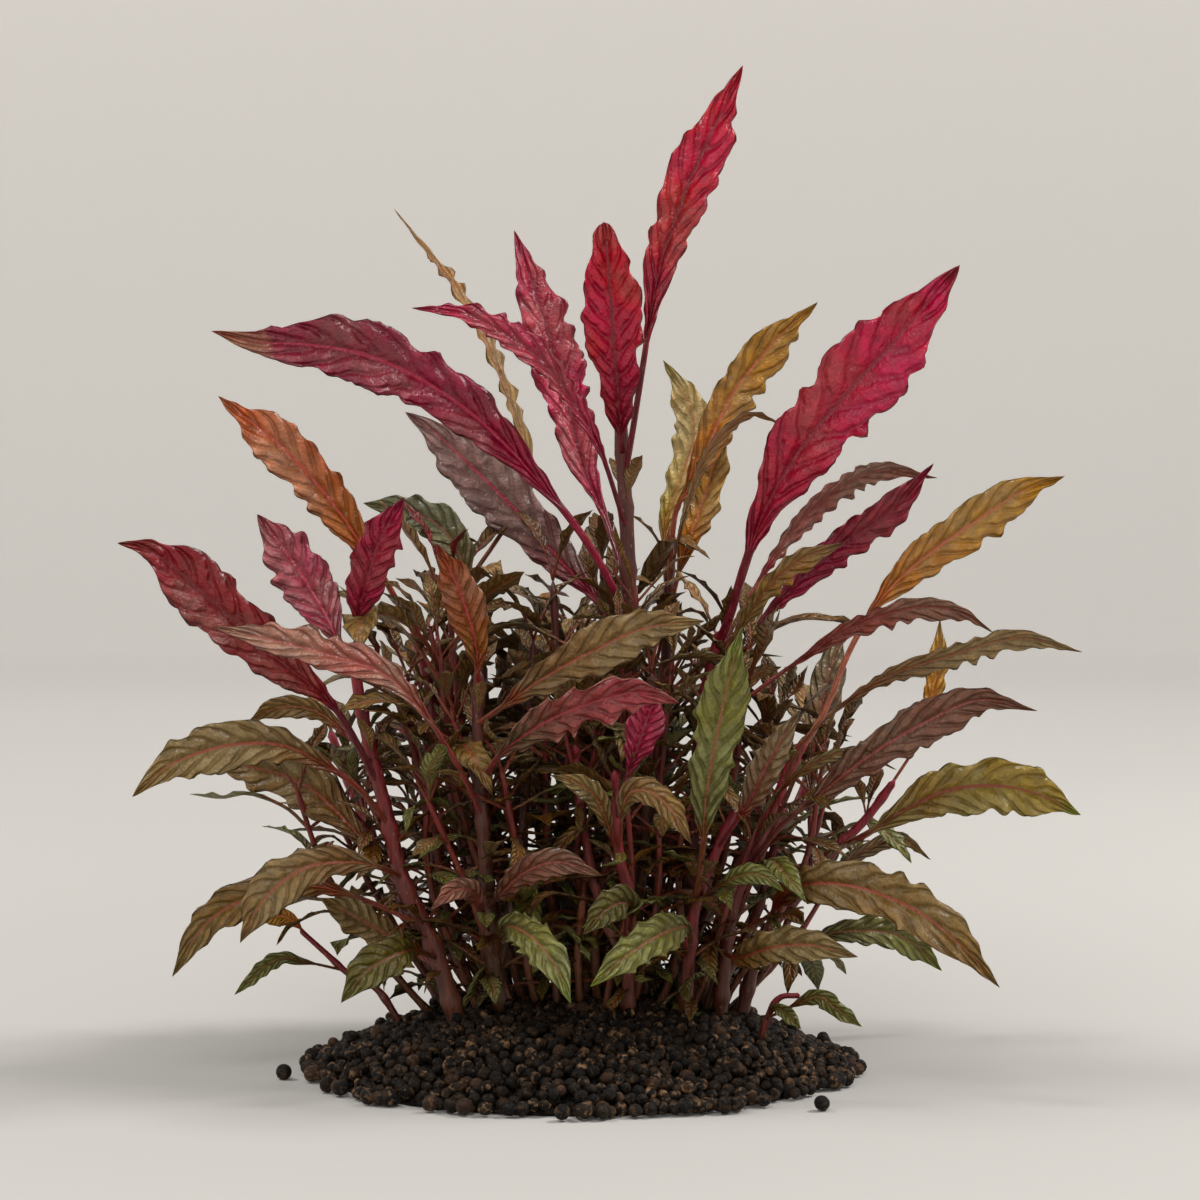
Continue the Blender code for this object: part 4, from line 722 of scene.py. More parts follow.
# %% The leaf markings group
VEIN_WANDER = 0.8
VEIN_WIDTHS = (0.01, 0.09)
RIB_WIDTHS = (0.4, 1.2)
NET_SCALE = 950.0
NET_WIDTHS = (0.0, 0.16)
MARGIN_WIDTHS = (0.86, 1.0)
MARKINGS, given, wanted = new_group("leaf markings", {"Surface": "Vector", "Place": "Vector"}, {
    "Along": "Float", "Rib": "Float", "Vein": "Float", "Puff": "Float", "Net": "Float", "Margin": "Float",
    "Under": "Float"})
parts = add(MARKINGS, "SeparateXYZ", {0: given["Surface"]}).outputs
under = calc(MARKINGS, "GREATER_THAN", parts[0], 1.5)
u = calc(MARKINGS, "MULTIPLY_ADD", under, -2.0, parts[0])
edge = calc(MARKINGS, "ABSOLUTE", calc(MARKINGS, "MULTIPLY_ADD", u, 2.0, -1.0))
on_left = calc(MARKINGS, "LESS_THAN", u, 0.5)
q = calc(MARKINGS, "MULTIPLY", on_left, VEIN_OFFSET)
q = calc(MARKINGS, "MULTIPLY_ADD", parts[1], float(VEIN_PAIRS), q)
q = calc(MARKINGS, "MULTIPLY_ADD", calc(MARKINGS, "POWER", edge, VEIN_CURVE), -VEIN_SWEEP, q)
q = calc(MARKINGS, "MULTIPLY_ADD", noise(MARKINGS, given["Place"], 190.0), VEIN_WANDER, q)
off_vein = calc(MARKINGS, "SUBTRACT", 0.5, calc(MARKINGS, "ABSOLUTE", calc(
    MARKINGS, "SUBTRACT", calc(MARKINGS, "FRACT", calc(MARKINGS, "SUBTRACT", q, VEIN_WANDER / 2)), 0.5)))
vein = less(MARKINGS, eased(MARKINGS, off_vein, *VEIN_WIDTHS))
vein = calc(MARKINGS, "MULTIPLY", vein, less(MARKINGS, eased(MARKINGS, edge, 0.6, 1.0)))
puff = calc(MARKINGS, "MULTIPLY", eased(MARKINGS, off_vein, 0.0, 0.3), eased(MARKINGS, edge, 0.0, 0.3))
rib_reach = calc(MARKINGS, "MULTIPLY_ADD", less(MARKINGS, parts[1]), 0.09, 0.03)
rib = less(MARKINGS, eased(MARKINGS, calc(MARKINGS, "DIVIDE", edge, rib_reach), *RIB_WIDTHS))
stalk = less(MARKINGS, eased(MARKINGS, parts[1], -0.02, 0.08))
cells = add(MARKINGS, "TexVoronoi", {"Vector": given["Place"], "Scale": NET_SCALE},
            feature="DISTANCE_TO_EDGE")
net = less(MARKINGS, eased(MARKINGS, cells.outputs[0], *NET_WIDTHS))
for label, value in {"Along": parts[1], "Rib": calc(MARKINGS, "MAXIMUM", rib, stalk), "Vein": vein,
                     "Puff": puff, "Net": net, "Margin": eased(MARKINGS, edge, *MARGIN_WIDTHS),
                     "Under": under}.items():
    feed(MARKINGS, wanted[label], value)
print("leaf markings:", len(MARKINGS.nodes), "nodes")

# %% The mottling group
BROAD_SCALE = 75.0
FINE_SCALE = 380.0
GRAIN_SCALE = 2200.0
MOTTLING, given, wanted = new_group("mottling", {"Place": "Vector"}, {
    "Broad": "Float", "Fine": "Float", "Grain": "Float"})
feed(MOTTLING, wanted["Broad"], eased(MOTTLING, noise(MOTTLING, given["Place"], BROAD_SCALE), 0.32, 0.68))
feed(MOTTLING, wanted["Fine"], eased(MOTTLING, noise(MOTTLING, given["Place"], FINE_SCALE, 3.0), 0.28, 0.72))
feed(MOTTLING, wanted["Grain"], noise(MOTTLING, given["Place"], GRAIN_SCALE, 2.0, 0.6))
print("mottling:", len(MOTTLING.nodes), "nodes")

# %% [markdown]
# ## The leaf finishes
#
# New growth at the top is crimson, older leaves turn mauve, copper and ochre, and shaded ones stay
# olive and green. Each finish names a slot, which is handed to make_piece but not used, and has seven
# colours: four along the leaf from stalk to tip, then the midrib, the margin and the underside. One
# builder makes them all from the same markings and mottling, which keeps them one plant.

# %% Leaf finishes
FINISHES = {
    "bright crimson": ("crimson", (116, 16, 30), (148, 18, 38), (184, 24, 46), (160, 28, 42),
                       (112, 14, 28), (156, 22, 42), (158, 50, 62)),
    "great crimson": ("crimson", (118, 14, 38), (158, 18, 48), (186, 30, 62), (150, 42, 56),
                      (132, 14, 38), (160, 28, 52), (150, 60, 74)),
    "pink crimson": ("magenta", (136, 24, 48), (176, 56, 80), (152, 32, 52), (134, 32, 44),
                     (118, 14, 36), (130, 30, 44), (150, 62, 72)),
    "magenta": ("magenta", (124, 16, 40), (140, 20, 50), (150, 26, 54), (128, 32, 48),
                (118, 14, 36), (112, 28, 42), (132, 54, 64)),
    "deep magenta": ("magenta", (124, 14, 38), (142, 18, 50), (124, 28, 48), (170, 128, 84),
                     (168, 26, 60), (88, 38, 42), (120, 60, 66)),
    "dark red": ("crimson", (110, 18, 26), (138, 22, 34), (134, 30, 36), (108, 54, 40),
                 (108, 16, 26), (86, 44, 34), (118, 60, 54)),
    "rose": ("mauve", (125, 26, 44), (134, 46, 58), (156, 70, 80), (140, 66, 66),
             (168, 40, 64), (118, 50, 54), (140, 88, 88)),
    "grey mauve": ("mauve", (134, 28, 50), (114, 64, 62), (142, 112, 104), (142, 102, 92),
                   (168, 32, 60), (92, 66, 56), (142, 114, 106)),
    "copper": ("bronze", (150, 42, 34), (156, 94, 40), (182, 104, 70), (150, 86, 58),
               (186, 66, 50), (132, 70, 42), (164, 108, 78)),
    "bronze pink": ("bronze", (150, 42, 38), (132, 82, 38), (142, 74, 44), (174, 84, 88),
                    (166, 42, 48), (118, 76, 38), (146, 92, 68)),
    "grey green": ("olive", (124, 50, 38), (92, 82, 50), (112, 112, 78), (112, 118, 70),
                   (134, 78, 62), (98, 98, 60), (126, 126, 94)),
    "frilled brown": ("mauve", (124, 36, 38), (112, 68, 46), (124, 104, 74), (136, 124, 92),
                      (140, 44, 50), (134, 122, 92), (126, 108, 82)),
    "olive copper": ("bronze", (122, 56, 38), (142, 112, 50), (152, 110, 60), (128, 88, 54),
                     (164, 80, 58), (118, 90, 44), (150, 116, 78)),
    "ochre": ("ochre", (144, 52, 34), (174, 106, 42), (172, 130, 60), (126, 114, 46),
              (190, 100, 70), (128, 112, 36), (170, 132, 84)),
    "pale": ("ochre", (140, 80, 44), (176, 148, 56), (210, 184, 126), (168, 156, 72),
             (196, 130, 90), (154, 146, 52), (200, 176, 124)),
    "dusty rose": ("mauve", (130, 30, 40), (130, 58, 48), (148, 98, 80), (138, 106, 80),
                   (158, 66, 60), (112, 84, 56), (142, 106, 88)),
    "tan olive": ("olive", (130, 50, 36), (112, 82, 48), (140, 112, 68), (146, 118, 72),
                  (156, 80, 52), (110, 90, 50), (144, 120, 84)),
    "purple brown": ("mauve", (118, 36, 34), (98, 58, 42), (114, 78, 60), (124, 92, 52),
                     (144, 62, 54), (90, 70, 42), (126, 94, 76)),
    "olive": ("olive", (138, 42, 38), (108, 76, 38), (130, 104, 58), (126, 106, 52),
              (152, 66, 44), (98, 80, 40), (136, 114, 76)),
    "green tip": ("olive", (134, 52, 36), (128, 98, 42), (152, 130, 62), (136, 158, 44),
                  (140, 54, 38), (122, 110, 44), (150, 136, 84)),
    "fresh green": ("green", (120, 56, 34), (90, 82, 38), (116, 114, 54), (134, 148, 46),
                    (140, 80, 48), (96, 98, 40), (130, 128, 76)),
    "dark green": ("green", (124, 46, 28), (74, 62, 20), (90, 80, 28), (104, 100, 32),
                   (118, 64, 38), (78, 70, 24), (104, 94, 46)),
    "shade brown": ("olive", (142, 44, 28), (88, 54, 18), (108, 74, 22), (118, 94, 28),
                    (140, 56, 34), (88, 64, 20), (116, 88, 44)),
    "pink tip": ("mauve", (118, 40, 38), (80, 64, 38), (152, 70, 70), (190, 100, 96),
                 (154, 46, 56), (206, 158, 134), (150, 104, 88)),
}
LEAF_ROUGHNESS = (0.28, 0.42)
LEAF_BUMP = 0.0006
UNDER_SHARE = 0.7
PAINTED_SHEEN_SHARE = 0.5
NET_SHARE = 0.2
VEIN_SHARE = 0.24
RIB_SHARE = 0.85
MARGIN_SHARE = 0.55


def leaf_material(finish):
    """A leaf's look: colours along it, then underside, a painted pale sheen on the puffs, mottling with
    painted shade in the vein grooves, net, veins and margin.
    """
    stalk, base, middle, tip, rib, margin, under = (screen_colour(*c) for c in FINISHES[finish][1:])
    material, tree, place, surface, shader = new_material(finish + " leaf")
    mark = add(tree, "Group", {"Surface": surface, "Place": place}, node_tree=MARKINGS).outputs
    mottle = add(tree, "Group", {"Place": place}, node_tree=MOTTLING).outputs
    shifted = calc(tree, "ADD", calc(tree, "MULTIPLY_ADD", mottle["Broad"], 0.12, -0.06), mark["Along"])
    colour = ramp(tree, shifted, (0.02, stalk), (0.22, base), (0.6, middle), (0.88, middle), (1.0, tip))
    colour = blended(tree, calc(tree, "MULTIPLY", mark["Under"], UNDER_SHARE), colour, under)
    # Painted sheen: in broad patches the puffs are tinted towards the underside colour, as a painted
    # highlight.
    painted_sheen = calc(tree, "MULTIPLY", mark["Puff"], calc(tree, "POWER", mottle["Broad"], 2.0))
    colour = blended(tree, calc(tree, "MULTIPLY", painted_sheen, PAINTED_SHEEN_SHARE), colour, under)
    # Painted shade: besides the fine mottling, the value dips in the vein grooves and rises on the puffs
    # between them.
    bright = calc(tree, "MULTIPLY", calc(tree, "MULTIPLY_ADD", mottle["Fine"], 0.5, 0.75),
                  calc(tree, "MULTIPLY_ADD", mark["Puff"], 0.26, 0.8))
    colour = add(tree, "HueSaturation", {
        "Hue": calc(tree, "MULTIPLY_ADD", mottle["Broad"], 0.014, 0.493),
        "Saturation": calc(tree, "MULTIPLY_ADD", mottle["Broad"], -0.14, 1.12),
        "Value": bright, "Color": colour}).outputs[0]
    for marking, amount, paint in (("Net", NET_SHARE, base), ("Vein", VEIN_SHARE, base),
                                   ("Rib", RIB_SHARE, rib), ("Margin", MARGIN_SHARE, margin)):
        colour = blended(tree, calc(tree, "MULTIPLY", mark[marking], amount), colour, paint)
    gloss = add(tree, "MapRange", {0: mottle["Fine"], 3: LEAF_ROUGHNESS[0], 4: LEAF_ROUGHNESS[1]})
    relief = calc(tree, "MULTIPLY_ADD", mottle["Grain"], 0.45, mark["Puff"])
    relief = calc(tree, "MULTIPLY_ADD", mottle["Fine"], 0.7, relief)
    finish_shader(tree, shader, colour, gloss.outputs[0], relief, 0.9, LEAF_BUMP)
    return material


LEAF_LOOKS = {finish: leaf_material(finish) for finish in FINISHES}
print(len(LEAF_LOOKS), "leaf finishes")

# %% [markdown]
# ## Stem bark
#
# The stems are smooth and a little streaky: brown and woody where they leave the soil, wine red
# higher up, with small pale pores. Streaks come from noise on Object coordinates that a Mapping node
# stretches along the stem's height, which needs no UV. The change of colour does follow the UV. Each
# bark is three colours, from foot to tip.

# %% Stem finishes
STEM_COLOURS = {"stem_brown": ((84, 58, 30), (88, 46, 28), (76, 26, 20)),
                "stem_rust": ((86, 54, 22), (114, 54, 24), (116, 32, 26)),
                "stem_red": ((86, 50, 28), (106, 36, 30), (134, 22, 38))}
PORE_COLOUR = (150, 104, 78)
PORE_SCALE = 700.0
STREAK_SCALE = 1500.0
BARK_ROUGHNESS = (0.36, 0.56)
BARK_BUMP = 0.0002


def stem_material(name):
    """Bark: colours from foot to tip, streaks along it, and pale pores."""
    foot, middle, tip = (screen_colour(*c) for c in STEM_COLOURS[name])
    material, tree, place, surface, shader = new_material(name.replace("_", " ") + " bark")
    height = add(tree, "SeparateXYZ", {0: surface}).outputs[1]
    colour = ramp(tree, height, (0.05, foot), (0.45, middle), (0.9, tip))
    long_way = add(tree, "Mapping", {"Vector": place, "Scale": (1.0, 1.0, 0.1)}).outputs[0]
    streak = eased(tree, noise(tree, long_way, STREAK_SCALE, 3.0), 0.3, 0.7)
    colour = add(tree, "HueSaturation", {"Value": calc(tree, "MULTIPLY_ADD", streak, 0.7, 0.62),
                                         "Color": colour}).outputs[0]
    pore_way = add(tree, "Mapping", {"Vector": place, "Scale": (1.0, 1.0, 0.5)}).outputs[0]
    dots = add(tree, "TexVoronoi", {"Vector": pore_way, "Scale": PORE_SCALE}).outputs[0]
    pore = less(tree, eased(tree, dots, 0.08, 0.2))
    colour = blended(tree, calc(tree, "MULTIPLY", pore, 0.5), colour, screen_colour(*PORE_COLOUR))
    gloss = add(tree, "MapRange", {0: streak, 3: BARK_ROUGHNESS[0], 4: BARK_ROUGHNESS[1]})
    relief = calc(tree, "MULTIPLY_ADD", pore, 0.8, calc(tree, "MULTIPLY", streak, 0.5))
    finish_shader(tree, shader, colour, gloss.outputs[0], relief, 0.7, BARK_BUMP)
    return material


STEM_LOOKS = {name: stem_material(name) for name in STEM_COLOURS}
print(len(STEM_LOOKS), "stem barks")

# %% [markdown]
# ## Baked-clay pellets
#
# The soil is sold as little balls of baked clay. They are nearly black, each a shade of its own,
# with a rough, dusty skin. Each pellet's UV holds two random numbers in place of a position, the same
# all over it, so one material can give every pellet its own shade and dustiness.

# %% The soil finish
CLAY_SHADES = ((0.0, (12, 8, 5)), (0.5, (24, 17, 10)), (0.85, (40, 28, 16)), (1.0, (84, 58, 40)))
DUST_COLOUR = (176, 134, 96)
CLAY_ROUGHNESS = (0.34, 0.8)
CLAY_BUMP = 0.0005


def soil_material():
    """Dark clay: a shade for each pellet, tan dust in patches, and a rough, pitted skin."""
    material, tree, place, surface, shader = new_material("baked clay soil")
    shade, dusty = add(tree, "SeparateXYZ", {0: surface}).outputs[:2]
    colour = ramp(tree, shade, *((share, screen_colour(*c)) for share, c in CLAY_SHADES))
    grain = noise(tree, place, 1500.0, 4.0, 0.65)
    patch = eased(tree, noise(tree, place, 900.0, 3.0, 0.6), 0.5, 0.62)
    dusty = calc(tree, "POWER", dusty, 3.0)
    dust = calc(tree, "MULTIPLY", patch, calc(tree, "MULTIPLY_ADD", dusty, 0.85, 0.1))
    colour = blended(tree, dust, colour, screen_colour(*DUST_COLOUR))
    colour = add(tree, "HueSaturation", {"Value": calc(tree, "MULTIPLY", grain, 1.35),
                                         "Color": colour}).outputs[0]
    gloss = add(tree, "MapRange", {0: grain, 1: 0.3, 2: 0.7, 3: CLAY_ROUGHNESS[0], 4: CLAY_ROUGHNESS[1]})
    pits = calc(tree, "MULTIPLY_ADD", noise(tree, place, 3600.0, 2.0), 0.4, grain)
    finish_shader(tree, shader, colour, gloss.outputs[0], pits, 1.0, CLAY_BUMP)
    feed(tree, shader.inputs["Specular IOR Level"], 0.2)
    return material


SOIL_LOOK = soil_material()
print("soil:", len(SOIL_LOOK.node_tree.nodes), "nodes")

# %% [markdown]
# ## The large leaves
#
# Each large leaf is a piece of its own and stands for its node of the CAD model. The great leaf at
# the right is the plant's showpiece, so it has a finish of its own. A hundred rings of forty points
# give each ruffle several rings, and that is few enough that all the leaves together stay light.

# %% Make the large leaves
LEAF_RINGS = 100
LEAF_ACROSS = 21


def placed_leaf(leaf, rings, across, slot, seed):
    """The skin of a listed leaf: its own midrib, width and turn in the leaf's formula."""
    return leaf_skin(leaf_points(leaf), leaf.width, leaf.stalk, leaf.widest,
                     faces_viewer(math.radians(leaf.turn)), leaf.twist, rings, across, slot, seed,
                     RUFFLE * leaf.ruffle)


for number, (name, leaf) in enumerate(LARGE_LEAVES.items()):
    skin = placed_leaf(leaf, LEAF_RINGS, LEAF_ACROSS, 0, number)
    make_piece(name.removeprefix("leaf_") + "_leaf", [skin], [LEAF_LOOKS[leaf.finish]],
               FINISHES[leaf.finish][0], replaces=name)
print(len(LARGE_LEAVES), "large leaves,", sum(TRIANGLES.values()), "triangles")

# %% [markdown]
# ## The stems and their leaves
#
# A stem is round, thins upwards and swells at its joints, where its leaves stand in pairs, each pair
# turned a quarter from the one below. A curve with a bevel would be round everywhere. A grid of rings
# can swell at each joint and keep the fine ridges of the bark. The small leaves start inside the stem,
# so stem and leaves read as one growth, and they share one piece.

# %% Stems
STEM_SIDES = 12
JOINT_SPACING = 12.0
JOINT_SWELLING = 0.28
JOINT_REACH = 1.3
RIDGES = 5
RIDGE_DEPTH = 0.03
RIDGE_TURN = 0.05
ROUND_TIP = 0.015


def stem_skin(line, thick, sides=STEM_SIDES, joint_spacing=JOINT_SPACING):
    """A stem round its line.

    Radius: from thick[0] to thick[1], times 1 + swelling exp(-(distance to a joint / its reach)^2)
    and 1 + depth cos(ridges * angle), where the ridges wind slowly upwards, and round at the tip."""
    share = np.linspace(0, 1, len(line))
    at = np.concatenate([[0], np.cumsum(np.linalg.norm(np.diff(line, axis=0), axis=1))])
    off_joint = abs((at + 0.5 * joint_spacing) % joint_spacing - 0.5 * joint_spacing)
    swelling = JOINT_SWELLING * np.exp(-((off_joint / JOINT_REACH) ** 2))
    radius = np.interp(share, [0, 1], thick) * (1 + swelling)
    radius = radius * np.sqrt(1 - np.clip((share - (1 - ROUND_TIP)) / ROUND_TIP, 0, 0.96))
    angle = np.arange(sides) * math.tau / sides
    ahead = unit(np.gradient(line, axis=0))
    side = squared(np.broadcast_to(RIGHT_WAY, line.shape), ahead)
    other = np.cross(ahead, side)
    ridged = radius[:, None] * (1 + RIDGE_DEPTH * np.cos(RIDGES * angle + RIDGE_TURN * at[:, None]))
    rings = line[:, None] + (side[:, None] * np.cos(angle)[:, None]
                             + other[:, None] * np.sin(angle)[:, None]) * ridged[..., None]
    around = angle / math.tau
    return closed_skin(rings, line[-1] + 0.3 * radius[-1] * ahead[-1], around, around + 1 / sides, share)


# %% Small leaves in pairs
SMALL_RINGS = 16
SMALL_ACROSS = 7
SMALL_WIDTH = 0.24
SMALL_WIDEST = (1.2, 0.9)
SMALL_DROOP = 0.75
ARCH_BENDS = np.array([0.0, 0.25, 0.65, 1.0])
ARCH_STEPS = np.array([0.22, 0.28, 0.27, 0.23])[:, None]
SIDE_SHOOT_THICKNESS = (1.0, 0.7)
SIDE_SHOOT_POINTS = 40
SIDE_SHOOT_PAIRS = 4
SIDE_SHOOT_BARE = 0.42


def arched_line(start, heading, length, rise, droop):
    """Points of a small leaf: it leaves at that rise and bends down by droop, in radians."""
    slope = rise - droop * ARCH_BENDS
    run = level_way(heading) * np.cos(slope)[:, None] + np.array([0, 0, 1]) * np.sin(slope)[:, None]
    return np.vstack([start, start + np.cumsum(length * ARCH_STEPS * run, axis=0)])


def leaf_pair(joint, heading, rise, length, stalk, slots, seed):
    """Two small leaves at opposite sides of a joint. heading and rise are in degrees."""
    for half_turn, slot in zip((0, 180), slots):
        line = arched_line(joint, math.radians(heading + half_turn), length, math.radians(rise), SMALL_DROOP)
        yield leaf_skin(line, length * SMALL_WIDTH, stalk, SMALL_WIDEST, faces_up, 0.0, SMALL_RINGS,
                        SMALL_ACROSS, slot, seed + half_turn)


def side_shoot_line(shoot, count):
    """count points of a side shoot's axis: out of its stem at a slant, and upright towards its tip."""
    joint = stem_point(STEMS[shoot.stem], shoot.joins)
    out = shoot.lean * level_way(math.radians(shoot.heading))
    up = np.array([0.0, 0.0, shoot.height - joint[2]])
    return smooth_line([joint, joint + 0.55 * out + 0.3 * up, joint + 0.9 * out + 0.7 * up,
                        joint + out + up], count)


def side_shoot_skins(shoot, seed):
    """A side shoot of the CAD model and its leaves, in three pairs and a fourth at its tip."""
    line = side_shoot_line(shoot, SIDE_SHOOT_POINTS)
    yield stem_skin(line, SIDE_SHOOT_THICKNESS, joint_spacing=9.0)
    last = SIDE_SHOOT_POINTS - 1
    for k in range(SIDE_SHOOT_PAIRS):
        share = k / (SIDE_SHOOT_PAIRS - 1)
        joint = line[min(last, round((SIDE_SHOOT_BARE + (1 - SIDE_SHOOT_BARE) * share) * last))]
        yield from leaf_pair(joint, shoot.heading + 45 + 90 * k, 32 + 38 * share, 25 - 6 * share, 0.24,
                             [1 + (seed + k) % 4] * 2, seed + 2 * k)


def paired_skins(stem, slot_of, seed):
    """The leaves that stand in pairs on a stem of the CAD model, flatter and longer lower down."""
    low, high, count, shortest, longest = stem.pairs
    for k in range(count):
        share = k / max(1, count - 1)
        joint = stem_point(stem, low + (high - low) * share)
        yield from leaf_pair(joint, stem.first_turn + 90 * k, 36 + 34 * share,
                             longest + (shortest - longest) * share, 0.2,
                             [slot_of(share), slot_of(share)], seed + 2 * k)


print("a side shoot's tip, mm:", np.round(side_shoot_line(SIDE_SHOOTS[0], SIDE_SHOOT_POINTS)[-1], 1))

# %% Make the stems
STEM_FINISH = {"stem_centre": "stem_brown", "stem_mid_left": "stem_brown", "stem_back_right": "stem_brown",
               "stem_back_centre": "stem_brown"}
PAIR_FINISHES = ["shade brown", "fresh green", "olive", "shade brown", "olive copper", "dark red"]
STEM_RINGS = 64
STEM_SHARE = 0.86
HAND_RINGS = 44
HAND_ACROSS = 13
shades = np.random.default_rng(11)
for number, (name, stem) in enumerate(STEMS.items()):
    bark = STEM_FINISH.get(name, "stem_red")
    hand_made = [leaf for leaf in SMALL_LEAVES.values() if leaf.stem == name]
    looks = PAIR_FINISHES + sorted({leaf.finish for leaf in hand_made} - set(PAIR_FINISHES))
    skins = [stem_skin(stem_line(stem, STEM_RINGS), np.multiply(stem.thick, STEM_SHARE))]
    skins += paired_skins(stem, lambda share: 1 + int(shades.integers(0, 2) + round(3.4 * share)),
                          100 * number)
    skins += [placed_leaf(leaf, HAND_RINGS, HAND_ACROSS, 1 + looks.index(leaf.finish),
                          700 + number + 7 * index) for index, leaf in enumerate(hand_made)]
    for index, shoot in enumerate(SIDE_SHOOTS):
        if shoot.stem == name:
            skins += side_shoot_skins(shoot, 40 * index)
    make_piece(name.removeprefix("stem_") + "_stem", skins,
               [STEM_LOOKS[bark], *(LEAF_LOOKS[finish] for finish in looks)], bark, replaces=name)
print(len(STEMS), "stems,", sum(TRIANGLES.values()), "triangles so far")

# %% [markdown]
# ## The thicket inside
#
# Between the main stems a real bunch holds dozens of thin shoots. One can't be told from another, so
# these are grown by a rule: feet spread like seeds in a sunflower head, each shoot leaning out and
# shorter the further out it stands, with a pair of leaves at each joint and a tuft at the top. They
# lean less to the right, in front and at the back, where the bunch is narrower. The rule draws its
# random numbers from a fixed seed, so it grows the same thicket every time.

# %% Where inner shoots stand and lean
SHOOTS = 64
SHOOT_FEET = 26.0
SHOOT_CENTRE = (1.0, 7.0)
FEET_BACK = 0.25
SHOOT_HEIGHT = 100.0
SHOOT_FALL = 42.0
SHOOT_SHORTER = 30.0
SHOOT_LEAN = (8.0, 28.0)
LEAN_CHANCE = (9.0, 5.0)
LEAN_RIGHT = 0.75
LEAN_FRONT = 0.2
LEAN_BACK = 0.5
SHOOT_WOBBLE = (3.0, 2.4)
SHOOT_RISES = np.array([0.3, 0.65, 1.0])[:, None]
GOLDEN_ANGLE = math.pi * (3 - math.sqrt(5))


def shoot_line(number, random):
    """A shoot's axis, and the share of the way out at which it stands.

    Shoot n stands at sqrt((n + 1/2) / shoots) of the way out, each a golden angle on from the last,
    so the feet are even. The axis leans out as its rise to the power 0.8, so it bends upright."""
    share = math.sqrt((number + 0.5) / SHOOTS)
    out = level_way(number * GOLDEN_ANGLE)
    foot = np.array([*SHOOT_CENTRE, PLANTED_HEIGHT]) + SHOOT_FEET * share * out
    foot[1] += FEET_BACK * SHOOT_FEET * share * max(0, -out[1])
    height = SHOOT_HEIGHT - SHOOT_FALL * share**2 - random.uniform(0, SHOOT_SHORTER)
    lean = out * (SHOOT_LEAN[0] + SHOOT_LEAN[1] * share) + [
        *(random.uniform(-chance, chance) for chance in LEAN_CHANCE), 0]
    lean *= [LEAN_RIGHT if out[0] > 0 else 1, LEAN_FRONT if out[1] < 0 else LEAN_BACK, 1]
    wobble = np.column_stack([*(random.uniform(-most, most, 3) for most in SHOOT_WOBBLE), np.zeros(3)])
    return np.vstack([foot, foot + lean * SHOOT_RISES**0.8 + wobble + [0, 0, height] * SHOOT_RISES]), share


print(SHOOTS, "inner shoots, the outermost", round(SHOOT_FEET * math.sqrt(1 - 0.5 / SHOOTS), 1), "mm out")

# %% A shoot of the thicket and its leaves
SHOOT_LIMIT = 66.0
SHOOT_POINTS = 26
SHOOT_THICKNESS = (1.15, 0.35, 0.5)
THICKET_FINISHES = ["dark green", "shade brown", "fresh green", "shade brown", "olive", "shade brown",
                    "olive copper", "dark red"]
THICKET_RINGS = 14
THICKET_ACROSS = 7
THICKET_TOP = 105.0
FINISHES_UP = 7.4
FINISH_CHANCE = 1.3
CRUMPLE = 0.035
CRUMPLE_ALONG = np.array([0.4, 0.7, 1.0, 1.2])[:, None]
INNER_WIDTHS = (0.17, 0.25)
INNER_STALKS = (0.2, 0.42)
INNER_TWIST = 50.0
INNER_RUFFLES = (0.2, 0.45)
INNER_LENGTHS = (17, 31)
INNER_DROOPS = (0.4, 1.5)
FIRST_JOINT = (15, 24)
JOINTS_APART = (6.5, 11)
TUFT_LENGTHS = (13, 21)
TUFT_RISES = (0.8, 1.3)


def thicket_leaf(joint, heading, length, rise, droop, level, random):
    """A crumpled leaf, greener low down and redder high up, and short enough to end before the limit."""
    if towards_back := max(0.0, math.sin(heading)):
        length = min(length, (SHOOT_LIMIT - joint[1]) / towards_back)
    line = arched_line(joint, heading, length, rise, droop)
    line[1:] += random.normal(0, CRUMPLE * length, (4, 3)) * CRUMPLE_ALONG
    finish = level * FINISHES_UP + random.uniform(-FINISH_CHANCE, FINISH_CHANCE)
    slot = 1 + int(np.clip(finish, 0, len(THICKET_FINISHES) - 1))
    return leaf_skin(line, length * random.uniform(*INNER_WIDTHS), random.uniform(*INNER_STALKS),
                     SMALL_WIDEST, faces_up, random.uniform(-INNER_TWIST, INNER_TWIST), THICKET_RINGS,
                     THICKET_ACROSS, slot, int(random.integers(1 << 30)), random.uniform(*INNER_RUFFLES))


def shoot_skins(number, random):
    """One shoot: a thin stem, a pair of leaves at each joint, and a tuft of three upright leaves."""
    points, share = shoot_line(number, random)
    line = smooth_line(points, SHOOT_POINTS)
    foot, thinner, tip = SHOOT_THICKNESS
    yield stem_skin(line, (foot - thinner * share, tip), sides=7, joint_spacing=10.0)
    turn = random.uniform(0, math.tau)
    at = random.uniform(*FIRST_JOINT)
    pair = 0
    while at < line[-1, 2] - 3:
        joint = line[np.argmin(abs(line[:, 2] - at))]
        length = random.uniform(*INNER_LENGTHS) * (0.66 + 0.46 * min(1, at / 65))
        rise = math.radians(4 + 58 * min(1, at / 90)) + random.uniform(-0.3, 0.3)
        for half_turn in (0, math.pi):
            heading = turn + pair * math.pi / 2 + half_turn + random.uniform(-0.5, 0.5)
            yield thicket_leaf(joint, heading, length * random.uniform(0.7, 1.15), rise,
                               random.uniform(*INNER_DROOPS), at / THICKET_TOP, random)
        at += random.uniform(*JOINTS_APART)
        pair += 1
    for k in range(3):
        yield thicket_leaf(line[-2], turn + k * 2.1, random.uniform(*TUFT_LENGTHS),
                           random.uniform(*TUFT_RISES), 0.4, line[-1, 2] / THICKET_TOP - 0.08, random)


